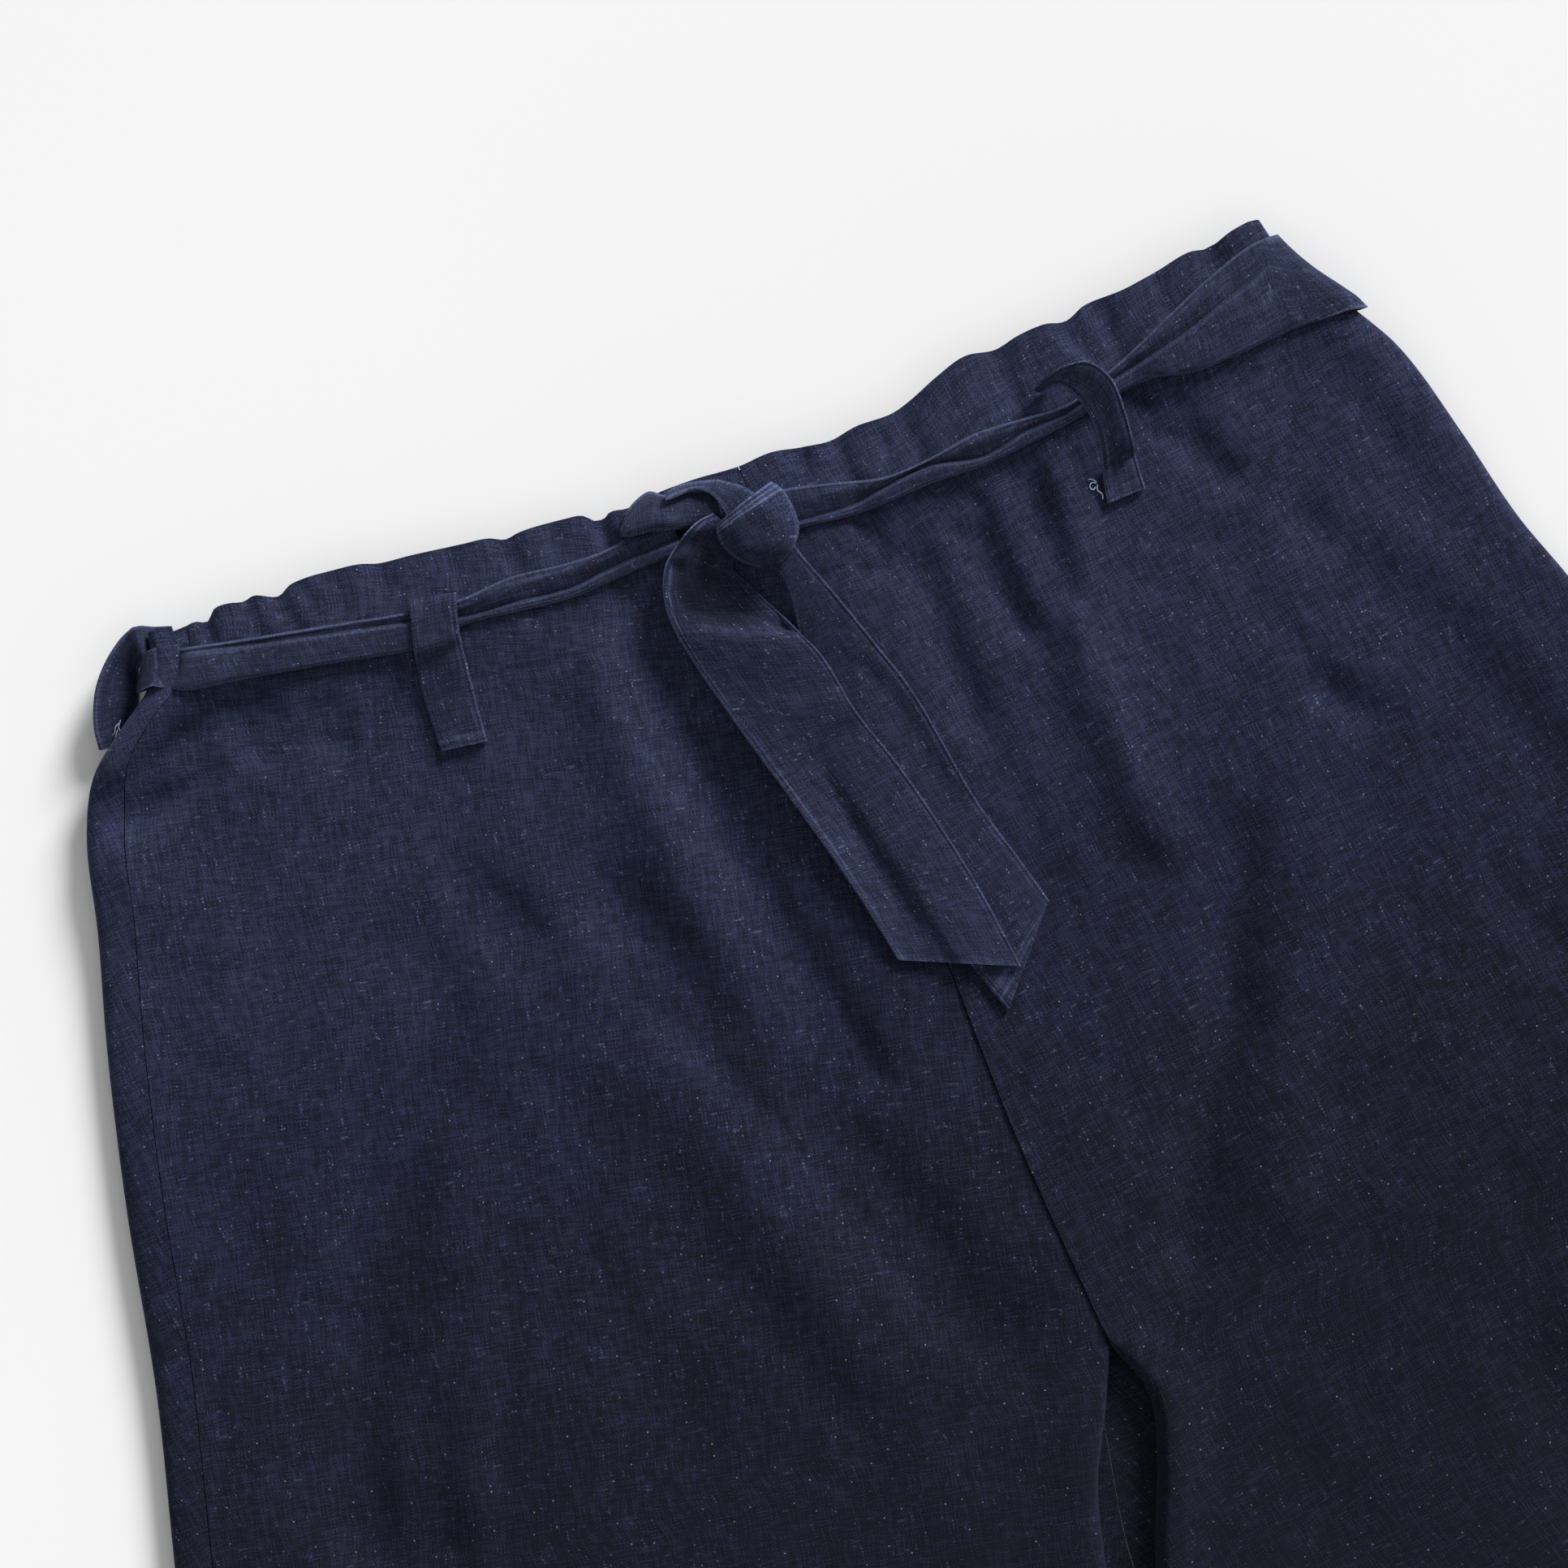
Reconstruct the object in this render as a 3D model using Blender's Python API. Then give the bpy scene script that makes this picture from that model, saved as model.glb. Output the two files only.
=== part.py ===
"""Samue trousers with a cloth tie belt, laid flat on their back.

Every size below is in millimetres. A place on the garment is u, across it to the wearer's left,
s, down from the waist, and z, up from the surface that it lies on. The names left and right are
those of the picture of the front. Run in Blender, it makes one object for each cut piece.
"""
import math

import bpy
from mathutils import Vector
from mathutils.bvhtree import BVHTree

METRES = 0.001
ORIGIN_U = 10.0
ORIGIN_S = 511.0

CLOTH = 1.2
CASING_WALL = 2.4
CASING_DEPTH = 50.0
BELT_CLOTH = 1.9
LOOP_CLOTH = 1.7
SEAM_GAP = 0.3
REST_GAP = 0.4
LAYER_GAP = 0.7
HEM_TILT = 23.0
SIDE_SEAM_IN = 14.0
EDGE_ROUND = 4.6
INNER_ROUND = 4.5
FRONT_CROTCH = 348.0
BACK_CROTCH = 426.0
BACK_RAISE = 4.4
BACK_EDGE_LOWER = 2.5
LEFT, RIGHT = -1, 1
SKY = 200.0
REACH_RAYS = 12
STRIP_REACH = 5.0
BELT_REACH = 3.5
CROWN_EDGE = 1.2

# Rolls and ridges of the front, as heights: they die away over the widths beside them.
SIDE_ROLL, SIDE_ROLL_IN, SIDE_ROLL_WIDTH = 1.5, 9.0, 9.0
LEG_ROLL, LEG_ROLL_IN, LEG_ROLL_WIDTH = 1.3, 7.0, 11.0
CROTCH_ROLL, CROTCH_ROLL_STATION, CROTCH_ROLL_LENGTH = 5.5, 400.0, 70.0
SEAM_RIDGE = {LEFT: -0.5, RIGHT: 0.8}
SEAM_RIDGE_WIDTH = 6.0

# The silhouette, as u at each station down from the waist.
OUTER_EDGES = (
    # station, left, right
    (0.0, -205.0, 204.0),
    (10.0, -207.5, 206.5),
    (21.0, -212.5, 211.5),
    (31.0, -226.0, 218.0),
    (42.0, -239.0, 225.0),
    (58.0, -248.0, 234.0),
    (94.0, -257.6, 245.0),
    (128.0, -267.4, 253.5),
    (150.0, -273.0, 261.5),
    (188.0, -281.6, 274.0),
    (250.0, -293.6, 289.0),
    (307.0, -308.0, 303.0),
    (348.0, -318.0, 314.0),
    (424.0, -335.0, 328.5),
    (500.0, -345.0, 341.0),
    (650.0, -361.0, 363.0),
    (800.0, -377.0, 386.0),
    (1000.0, -398.0, 418.0),
)
FRONT_SEAM = (
    # station, u
    (0.0, 6.0),
    (42.0, 8.5),
    (128.0, 12.2),
    (210.0, 14.8),
    (268.0, 16.0),
    (330.0, 20.4),
    (348.0, 22.0),
)
LEG_INNER_EDGES = (
    # station, left, right
    (348.0, 22.0, 22.0),
    (368.0, 13.0, 28.5),
    (390.0, 2.0, 23.5),
    (424.0, -7.0, 10.3),
    (460.0, -16.0, 6.0),
    (500.0, -28.0, 10.0),
    (560.0, -54.0, 23.0),
    (650.0, -90.0, 57.0),
    (800.0, -140.0, 121.0),
    (1000.0, -182.0, 198.0),
)
SIDE_COLUMN = {LEFT: 1, RIGHT: 2}

# How far the waist's upper edge dips below its two corners.
WAIST_DIP = (
    # u, dip
    (-210.0, -0.9),
    (-182.0, 3.6),
    (-156.0, 5.2),
    (-129.0, 5.4),
    (-104.0, 8.9),
    (-79.0, 13.6),
    (-52.0, 15.3),
    (-26.0, 16.3),
    (0.0, 18.0),
    (27.0, 18.8),
    (53.0, 18.6),
    (83.0, 13.3),
    (111.0, 9.9),
    (138.0, 7.3),
    (166.0, 4.5),
    (194.0, 0.8),
    (210.0, -0.4),
)
DIP_FADE = 150.0

# The front's height over the surface, away from folds, and the back's underside.
LEVELS = (
    # station, front, underside
    (0.0, 11.2, BACK_RAISE),
    (50.0, 11.2, BACK_RAISE),
    (75.0, 9.2, 2.2),
    (105.0, 6.4, 0.0),
    (180.0, 5.8, 0.0),
    (1000.0, 5.4, 0.0),
)

# Soft folds of the front: a ridge where the height is above nought, a valley where it is below.
FOLDS = (
    # start u, start s, end u, end s, bow, half width, height
    (-195.0, 33.0, -234.0, 65.0, 2.0, 6.0, -2.0),
    (-186.0, 22.0, -236.0, 50.0, 2.0, 7.0, 2.2),
    (-177.0, 33.0, -182.0, 60.0, 0.0, 6.0, -1.6),
    (-157.0, 44.0, -155.0, 66.0, 0.0, 6.0, -1.4),
    (-136.0, 118.0, -94.0, 192.0, 3.0, 12.0, -2.0),
    (-90.0, 138.0, -13.0, 347.0, -9.0, 15.0, -2.4),
    (-116.0, 150.0, -58.0, 330.0, -8.0, 16.0, 2.2),
    (-43.0, 40.0, -25.0, 235.0, 5.0, 12.0, -2.3),
    (-62.0, 60.0, -52.0, 225.0, 4.0, 13.0, 2.4),
    (-150.0, 130.0, -194.0, 216.0, -8.0, 14.0, -2.2),
    (-194.0, 214.0, -249.0, 332.0, 4.0, 14.0, -2.2),
    (-180.0, 250.0, -221.0, 342.0, 4.0, 10.0, -1.6),
    (-166.0, 200.0, -206.0, 330.0, 4.0, 11.0, 2.0),
    (41.0, 40.0, 37.0, 70.0, 0.0, 6.0, -1.6),
    (53.0, 66.0, 53.0, 134.0, 0.0, 8.0, -2.1),
    (72.0, 52.0, 80.0, 108.0, 2.0, 7.0, -2.0),
    (96.0, 48.0, 96.0, 102.0, -3.0, 7.0, -2.1),
    (109.0, 52.0, 100.0, 194.0, 8.0, 10.0, 2.8),
    (148.0, 40.0, 165.0, 84.0, 2.0, 7.0, -2.0),
    (183.0, 96.0, 186.0, 116.0, 0.0, 7.0, -1.3),
    (167.0, 156.0, 184.0, 178.0, 0.0, 8.0, -1.4),
    (191.0, 122.0, 236.0, 222.0, -5.0, 14.0, -2.2),
    (212.0, 118.0, 252.0, 216.0, -5.0, 13.0, 2.0),
    (131.0, 192.0, 103.0, 256.0, 6.0, 13.0, -2.2),
    (103.0, 254.0, 58.0, 333.0, 4.0, 13.0, -2.2),
    (148.0, 200.0, 92.0, 330.0, 4.0, 14.0, 2.0),
    (-222.0, 345.0, -262.0, 590.0, -8.0, 14.0, -2.0),
    (-120.0, 420.0, -205.0, 760.0, 8.0, 17.0, 2.6),
    (-290.0, 640.0, -315.0, 930.0, 6.0, 15.0, -2.2),
    (-150.0, 620.0, -250.0, 860.0, -8.0, 15.0, -2.0),
    (160.0, 400.0, 225.0, 760.0, 9.0, 17.0, -2.4),
    (232.0, 360.0, 292.0, 680.0, -9.0, 16.0, 2.6),
    (90.0, 470.0, 190.0, 800.0, 10.0, 15.0, 2.2),
    (290.0, 690.0, 330.0, 950.0, 6.0, 15.0, -2.2),
)

# Tucks that the elastic draws in the casing of the front, and how far down each one runs.
GATHERS = (
    # u, depth, length
    (-195.0, 1.0, 40.0),
    (-181.0, 1.5, 55.0),
    (-168.0, 1.4, 60.0),
    (-157.0, 1.1, 60.0),
    (-143.0, 1.0, 50.0),
    (-112.0, 0.8, 45.0),
    (-81.0, 1.3, 60.0),
    (-62.0, 0.8, 45.0),
    (-44.0, 1.4, 80.0),
    (-30.0, 1.0, 50.0),
    (24.0, 1.3, 60.0),
    (41.0, 1.6, 80.0),
    (66.0, 1.3, 70.0),
    (82.0, 1.0, 60.0),
    (98.0, 1.5, 80.0),
    (118.0, 1.1, 55.0),
    (139.0, 2.2, 70.0),
    (160.0, 1.0, 60.0),
    (187.0, 1.2, 50.0),
)
GATHER_HALF_WIDTH = 4.5
GATHER_NOTCH = 1.1
BACK_GATHERS = 22
BACK_GATHER_DEPTH = 1.1

STATIONS = (0, 9, 18, 28, 39, 50, 62, 76, 92, 110, 130, 154, 180, 208, 238, 270, 302, 330, 346, 358,
            372, 392, 420, 446, 470, 510, 570, 650, 740, 830, 920, 1000)
DENSE_ABOVE = 112.0
FRONT_COLUMNS_DENSE = 25
FRONT_COLUMNS = 14
BACK_COLUMNS_DENSE = 14
BACK_COLUMNS = 8
ROUND_STEPS = 3
PLACE_STEP = 0.02

# The belt along the front: its two edges, the crease between its folded layers and their heights.
BELT_LEFT = (
    # u, top, crease, bottom, upper height, lower height
    (-207.5, 8.0, 10.0, 21.5, 2.2, 3.4),
    (-198.0, 10.5, 12.5, 26.0, 2.2, 3.8),
    (-176.0, 15.2, 18.0, 29.3, 2.2, 3.8),
    (-147.0, 20.8, 24.0, 34.4, 2.2, 3.8),
    (-119.0, 26.3, 30.0, 39.6, 2.2, 3.8),
    (-100.0, 28.6, 32.0, 37.5, 2.4, 4.2),
    (-80.0, 27.4, 32.0, 39.8, 2.4, 4.2),
    (-63.0, 29.4, 33.5, 41.5, 2.4, 4.2),
    (-49.0, 30.0, 35.0, 40.8, 3.0, 4.2),
    (-36.0, 28.6, 34.0, 40.0, 3.4, 4.2),
    (-22.0, 30.0, 34.5, 40.0, 3.4, 4.2),
)
BELT_RIGHT = (
    # u, top, crease, bottom, upper height, lower height
    (12.0, 31.6, 42.6, 46.0, 4.0, 2.2),
    (20.0, 31.8, 43.6, 46.2, 4.0, 2.2),
    (38.0, 36.2, 44.6, 48.2, 4.0, 2.2),
    (52.0, 39.4, 42.6, 48.0, 4.0, 3.0),
    (68.0, 38.7, 41.5, 47.2, 3.6, 4.0),
    (84.0, 36.4, 40.0, 47.8, 3.2, 4.2),
    (103.0, 37.2, 40.0, 46.0, 3.2, 4.2),
    (120.0, 37.6, 39.8, 43.8, 3.6, 4.2),
    (136.0, 32.2, 34.8, 40.6, 4.2, 3.4),
    (150.0, 27.4, 31.0, 38.8, 4.2, 2.8),
    (164.0, 21.7, 27.2, 42.6, 4.2, 2.2),
    (180.0, 15.2, 22.8, 42.0, 4.2, 2.2),
    (194.0, 9.2, 18.4, 41.0, 4.2, 2.2),
    (203.0, 7.6, 15.0, 40.4, 3.8, 2.2),
)
BELT_EDGE_SLACK = {LEFT: 2.4, RIGHT: 3.6}
BELT_TURN_STEPS = 5
BELT_TURN_IN = 8.0
BELT_ACROSS = (0.0, 0.45, 1.0)
BELT_BACK_COLUMNS = 26
BELT_LOOP_CLEAR = 16.0
BELT_BACK_SIDES = (
    # side, top station, bottom station
    (LEFT, 8.0, 20.0),
    (RIGHT, 7.6, 40.4),
)

# Strips that lie on what is under them: two edges, the least height of the underside, and the wall.
LOOP_FRONT_LEFT = (
    # left u, left s, right u, right s, low left, low right, wall
    (-115.9, 22.8, -99.7, 26.2, 0.0, 0.0, 1.7),
    (-117.6, 30.0, -101.4, 32.0, 0.0, 0.0, 1.7),
    (-120.2, 40.0, -103.8, 42.0, 0.0, 0.0, 1.7),
    (-122.6, 52.0, -105.2, 53.0, 0.0, 0.0, 1.7),
    (-123.4, 64.0, -106.6, 65.6, 0.0, 0.0, 1.7),
    (-123.9, 75.2, -107.6, 77.4, 0.0, 0.0, 1.7),
)
LOOP_FRONT_RIGHT = (
    # left u, left s, right u, right s, low left, low right, wall
    (114.1, 28.0, 129.9, 25.7, 14.0, 15.0, 1.7),
    (119.0, 33.5, 133.8, 33.0, 20.0, 22.0, 1.7),
    (122.6, 41.0, 135.9, 40.8, 23.0, 26.0, 1.7),
    (124.6, 52.0, 136.0, 52.0, 20.0, 24.0, 1.7),
    (124.4, 62.0, 135.4, 62.0, 15.0, 17.0, 1.7),
    (121.7, 73.1, 134.6, 72.2, 0.0, 0.0, 1.7),
)
TAIL_UNDER = (
    # left u, left s, right u, right s, low left, low right, wall
    (-3.0, 50.0, 12.0, 46.5, 0.0, 14.0, 2.0),
    (5.0, 58.0, 15.4, 56.0, 15.0, 16.0, 2.0),
    (3.0, 74.0, 21.0, 71.0, 12.0, 14.0, 2.0),
    (-1.0, 92.0, 28.4, 90.0, 9.0, 11.0, 2.0),
    (1.0, 116.0, 36.4, 114.5, 0.0, 9.5, 2.0),
    (9.0, 155.0, 43.1, 152.8, 0.0, 0.0, 2.0),
    (17.0, 186.0, 50.2, 178.0, 0.0, 0.0, 2.0),
    (21.8, 207.0, 54.7, 194.4, 0.0, 0.0, 2.0),
    (28.5, 226.6, 54.9, 195.6, 0.0, 0.0, 2.0),
)
TAIL_OVER = (
    # left u, left s, right u, right s, low left, low right, wall
    (-9.0, 33.0, -7.0, 46.0, 17.0, 19.0, 2.0),
    (-18.7, 33.4, -12.0, 48.5, 19.0, 21.0, 2.0),
    (-26.0, 38.2, -16.0, 52.0, 20.0, 21.0, 2.0),
    (-31.6, 47.7, -17.0, 57.0, 19.0, 20.0, 2.0),
    (-34.7, 58.6, -12.0, 65.0, 17.0, 18.0, 2.0),
    (-34.1, 70.7, -2.0, 74.5, 14.5, 16.5, 2.0),
    (-31.0, 86.7, 10.6, 87.1, 13.0, 16.0, 2.0),
    (-23.4, 112.0, 14.5, 108.0, 13.0, 13.0, 2.0),
    (-13.6, 143.0, 24.0, 139.2, 12.0, 0.0, 2.0),
    (-6.2, 172.0, 33.0, 178.2, 10.0, 0.0, 2.0),
    (-1.1, 197.0, 38.1, 213.6, 9.0, 0.0, 2.0),
)
KNOT_LOOP = (
    # left u, left s, right u, right s, low left, low right, wall
    (-37.0, 26.0, -37.0, 24.0, 0.0, 0.0, 3.0),
    (-33.0, 30.5, -32.0, 18.8, 0.0, 0.0, 8.0),
    (-26.0, 32.6, -25.0, 16.4, 0.0, 0.0, 10.0),
    (-16.0, 33.0, -14.0, 18.0, 0.0, 0.0, 10.5),
    (-6.0, 33.2, -5.0, 21.5, 0.0, 0.0, 9.0),
)
KNOT_WRAP = (
    # left u, left s, right u, right s, low left, low right, wall
    (-4.0, 29.0, 15.0, 27.2, 0.0, 0.0, 5.0),
    (-8.0, 34.0, 18.2, 34.0, 0.0, 0.0, 8.0),
    (-9.0, 40.0, 19.0, 40.0, 0.0, 0.0, 9.0),
    (-7.6, 46.0, 18.2, 46.0, 0.0, 0.0, 8.0),
    (-4.0, 51.0, 15.0, 51.5, 0.0, 0.0, 6.5),
    (1.6, 55.0, 9.0, 55.4, 0.0, 0.0, 4.0),
)
LOOP_WIDTH = 17.0
LOOP_UNDER_STATIONS = (1.0, 4.5, 24.0, 43.0, 47.0, 52.0)
SIDE_LOOP_IN = 20.0
LOOP_SIDE_LEFT = (
    # u, s, low z, high z
    (-208.0, -2.4, 6.0, 12.5),
    (-218.0, 3.2, 3.5, 14.5),
    (-226.0, 11.0, 2.0, 15.5),
    (-230.0, 20.0, 1.5, 15.5),
    (-232.6, 28.0, 2.5, 14.0),
    (-233.2, 34.6, 4.5, 11.5),
)

INDIGO = (0.026, 0.031, 0.060)
INDIGO_BELT = (0.032, 0.038, 0.070)
ROUGHNESS = 0.92


def clamp(value, low=0.0, high=1.0):
    return max(low, min(high, value))


def ease(value):
    """A smooth step from 0 to 1."""
    x = clamp(value)
    return x * x * (3.0 - 2.0 * x)


def bump(distance, width):
    """A smooth hill of height 1 at no distance, which dies away over a width."""
    return math.exp(-((distance / width) ** 2))


def soft_max(a, b):
    """The larger of two heights, rounded where they cross."""
    return 0.5 * (a + b + math.sqrt((a - b) ** 2 + 0.25))


def mix(a, b, share):
    return a + (b - a) * share


def read_table(rows, key, column):
    """The smooth value of a column at a key: the key is column 0, and it grows down the rows."""
    if key <= rows[0][0]:
        return rows[0][column]
    if key >= rows[-1][0]:
        return rows[-1][column]
    i = next(k for k in range(len(rows) - 1) if rows[k + 1][0] >= key)
    x0, x1 = rows[i][0], rows[i + 1][0]
    y0, y1 = rows[i][column], rows[i + 1][column]
    step = (y1 - y0) / (x1 - x0)
    before = step if i == 0 else (y0 - rows[i - 1][column]) / (x0 - rows[i - 1][0])
    after = step
    if i + 2 < len(rows):
        after = (rows[i + 2][column] - y1) / (rows[i + 2][0] - x1)
    slope0 = 0.5 * (before + step) * (x1 - x0)
    slope1 = 0.5 * (after + step) * (x1 - x0)
    x = (key - x0) / (x1 - x0)
    return (
        (2 * x**3 - 3 * x**2 + 1) * y0
        + (x**3 - 2 * x**2 + x) * slope0
        + (3 * x**2 - 2 * x**3) * y1
        + (x**3 - x**2) * slope1
    )


def outer_edge(side, station):
    return read_table(OUTER_EDGES, station, SIDE_COLUMN[side])


def front_inner_edge(side, station):
    if station <= FRONT_CROTCH:
        return read_table(FRONT_SEAM, station, 1)
    return read_table(LEG_INNER_EDGES, station, SIDE_COLUMN[side])


def back_inner_edge(side, station):
    """The back seam runs lower than the front one, and its crotch lies under the front's."""
    seam = mix(7.0, 13.0, clamp(station / 300.0))
    seam = mix(seam, 3.0, ease((station - FRONT_CROTCH) / (BACK_CROTCH - FRONT_CROTCH)))
    away = ease((station - BACK_CROTCH) / 36.0)
    return mix(seam, front_inner_edge(side, station), away)


def seam_share(station, crotch, length):
    """0 where two panels meet in a centre seam, 1 where the leg has its own inner edge."""
    return ease((station - crotch) / length)


def row_place(side, station, u):
    """s of a point at u in the row at a station: rows dip at the waist and tilt at the hem."""
    middle = 0.5 * (outer_edge(side, station) + front_inner_edge(side, station))
    half = 0.5 * abs(outer_edge(side, station) - front_inner_edge(side, station))
    outward = side * (u - middle) / half
    tilt = HEM_TILT * ease((station - 350.0) / 650.0) * outward
    dip = read_table(WAIST_DIP, u, 1) * (1.0 - ease(station / DIP_FADE))
    return station + dip - tilt


def fold_height(u, s):
    total = 0.0
    for u0, s0, u1, s1, bow, half_width, height in FOLDS:
        run_u, run_s = u1 - u0, s1 - s0
        length = math.hypot(run_u, run_s)
        along = ((u - u0) * run_u + (s - s0) * run_s) / length
        if along < -2 * half_width or along > length + 2 * half_width:
            continue
        share = clamp(along / length)
        across = ((u - u0) * -run_s + (s - s0) * run_u) / length - 4 * bow * share * (1 - share)
        if abs(across) > 3 * half_width:
            continue
        fade = min(ease(along / (2 * half_width) + 0.5), ease((length - along) / (2 * half_width) + 0.5))
        total += height * fade * bump(across, half_width)
    return total


def gather_share(u, station):
    """How deep the waist's tucks are at a place, from the table of gathers."""
    total = 0.0
    for place, depth, length in GATHERS:
        if abs(u - place) < 3 * GATHER_HALF_WIDTH:
            total += depth * bump(u - place, GATHER_HALF_WIDTH) * (1.0 - ease(station / length))
    return total


def back_gather(u, station):
    waves = math.cos(u * BACK_GATHERS * math.pi / 210.0 + 1.3 * math.sin(u * 0.021))
    return 0.5 * BACK_GATHER_DEPTH * (1.0 + waves) * (1.0 - ease((station - 35.0) / 50.0))


def underside(side, station, u):
    from_edge = side * (outer_edge(side, station) - u)
    lifted = back_gather(u, station) * ease((from_edge - 2.0) / 16.0)
    return max(0.0, read_table(LEVELS, station, 2)) + lifted


def front_height(side, station, u):
    """z of the front's outer face."""
    s = row_place(side, station, u)
    from_outer = side * (outer_edge(side, station) - u)
    from_inner = side * (u - front_inner_edge(side, station))
    height = read_table(LEVELS, station, 1)
    height += fold_height(u, s) * ease((from_outer + 4.0) / 14.0)
    height -= gather_share(u, station) * ease(from_outer / 8.0)
    height += SIDE_ROLL * bump(from_outer - SIDE_ROLL_IN, SIDE_ROLL_WIDTH)
    leg = seam_share(station, FRONT_CROTCH - 20.0, 60.0)
    raised = LEG_ROLL
    if side == RIGHT:
        near_crotch = bump(station - CROTCH_ROLL_STATION, CROTCH_ROLL_LENGTH)
        raised = mix(LEG_ROLL, CROTCH_ROLL, near_crotch)
    height += leg * raised * bump(from_inner - LEG_ROLL_IN, LEG_ROLL_WIDTH)
    ridge = SEAM_RIDGE[side] * bump(from_inner, SEAM_RIDGE_WIDTH)
    height += (1.0 - leg) * ridge * ease(station / 60.0)
    least = underside(side, station, u) + 2 * wall_at(station) + LAYER_GAP
    return soft_max(height, least)


def outer_point(side, station, place):
    """A point of the flat tube's outer face.

    The place goes round the tube: -1 to 0 down over the front's inner edge, 0 to 1 across the
    front, 1 to 2 round the outer edge, 2 to 3 back along the underside, 3 to 4 up the inner edge.
    """
    outer = outer_edge(side, station)
    inner_front = front_inner_edge(side, station)
    inner_back = back_inner_edge(side, station)
    edge_start = outer - side * EDGE_ROUND
    top = front_height(side, station, edge_start)
    bottom = underside(side, station, edge_start)
    back_wall = wall_at(station)
    if place <= 0.0:
        angle = -place * math.pi / 2
        u = inner_front + side * (INNER_ROUND * (1 - math.sin(angle)) + 0.5 * SEAM_GAP)
        height = front_height(side, station, inner_front + side * INNER_ROUND)
        over_back = underside(side, station, u) + back_wall + SEAM_GAP
        middle = 0.5 * height + 0.5 * SEAM_GAP
        low = mix(over_back, middle, seam_share(station, BACK_CROTCH + 14.0, 30.0))
        drop = (height - low) * seam_share(station, FRONT_CROTCH - 6.0, 18.0)
        z = height - drop * (1 - math.cos(angle))
    elif place <= 1.0:
        u = mix(inner_front + side * (INNER_ROUND + 0.5 * SEAM_GAP), edge_start, place)
        z = front_height(side, station, u)
    elif place <= 2.0:
        angle = (1.5 - place) * math.pi
        u = edge_start + side * EDGE_ROUND * math.cos(angle)
        z = mix(bottom, top, 0.5 + 0.5 * math.sin(angle))
    elif place <= 3.0:
        u = mix(edge_start, inner_back + side * (INNER_ROUND + 0.5 * SEAM_GAP), place - 2.0)
        z = underside(side, station, u)
    else:
        angle = (place - 3.0) * math.pi / 2
        u = inner_back + side * (INNER_ROUND * (1 - math.sin(angle)) + 0.5 * SEAM_GAP)
        height = front_height(side, station, front_inner_edge(side, station) + side * INNER_ROUND)
        rise = (0.5 * height - 0.5 * SEAM_GAP) * seam_share(station, BACK_CROTCH + 14.0, 30.0)
        z = underside(side, station, u) + rise * (1 - math.cos(angle))
    s = row_place(side, station, u)
    if place > 1.0:
        lower = clamp(place - 1.0) * BACK_EDGE_LOWER
        s += lower * (1.0 - ease(station / 60.0))
    elif station < 60.0:
        s += GATHER_NOTCH * gather_share(u, station) * (1.0 - station / 60.0)
    return Vector((u, s, z))


def wall_at(station):
    return mix(CASING_WALL, CLOTH, ease((station - CASING_DEPTH) / 10.0))


def world(point):
    return Vector((point[0] - ORIGIN_U, ORIGIN_S - point[1], point[2])) * METRES


def inner_point(side, station, place):
    """The point of the wall's inner face that lies square to the outer face, in the row's plane."""
    before = outer_point(side, station, max(place - PLACE_STEP, -1.0))
    after = outer_point(side, station, min(place + PLACE_STEP, 4.0))
    run_u, run_z = after.x - before.x, after.z - before.z
    square = Vector((side * run_z, 0.0, -side * run_u)).normalized()
    return outer_point(side, station, place) + square * wall_at(station)


def places_between(start, end, across, round_steps):
    """Places from start to end, with steps round each edge and columns across each face."""
    stops = [start]
    for low, high, steps in ((-1, 0, round_steps), (0, 1, across), (1, 2, round_steps + 1),
                             (2, 3, across), (3, 4, round_steps)):
        first, last = max(start, low), min(end, high)
        if last <= first:
            continue
        count = max(1, round(steps * (last - first) / (high - low)))
        stops += [mix(first, last, k / count) for k in range(1, count + 1)]
    return stops


def seam_place(side, station, gap_share):
    """Where the side seam lies: on the front at the left, on the underside at the right."""
    outer = outer_edge(side, station)
    if side == LEFT:
        inner = front_inner_edge(side, station) + side * (INNER_ROUND + 0.5 * SEAM_GAP)
        across = abs(outer - side * EDGE_ROUND - inner)
        return 1.0 - (SIDE_SEAM_IN - EDGE_ROUND + gap_share * SEAM_GAP) / across
    inner = back_inner_edge(side, station) + side * (INNER_ROUND + 0.5 * SEAM_GAP)
    across = abs(outer - side * EDGE_ROUND - inner)
    return 2.0 + (SIDE_SEAM_IN - EDGE_ROUND - gap_share * SEAM_GAP) / across


def panel_rows(side, front):
    outer_rows, inner_rows = [], []
    for station in STATIONS:
        dense = station < DENSE_ABOVE
        if front:
            across = FRONT_COLUMNS_DENSE if dense else FRONT_COLUMNS
            places = places_between(-1.0, seam_place(side, station, 0.5), across, ROUND_STEPS)
        else:
            across = BACK_COLUMNS_DENSE if dense else BACK_COLUMNS
            places = places_between(seam_place(side, station, -0.5), 4.0, across, ROUND_STEPS)
        outer_rows.append([outer_point(side, station, place) for place in places])
        inner_rows.append([inner_point(side, station, place) for place in places])
    return outer_rows, inner_rows


def strip_between(upper, lower):
    """Triangles between two rows of vertex numbers, which may differ in count."""
    faces = []
    i, j = 0, 0
    while i < len(upper) - 1 or j < len(lower) - 1:
        next_upper = (i + 1) / (len(upper) - 1)
        next_lower = (j + 1) / (len(lower) - 1)
        if j == len(lower) - 1 or (i < len(upper) - 1 and next_upper <= next_lower):
            faces.append((upper[i], lower[j], upper[i + 1]))
            i += 1
        else:
            faces.append((upper[i], lower[j], lower[j + 1]))
            j += 1
    return faces


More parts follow.
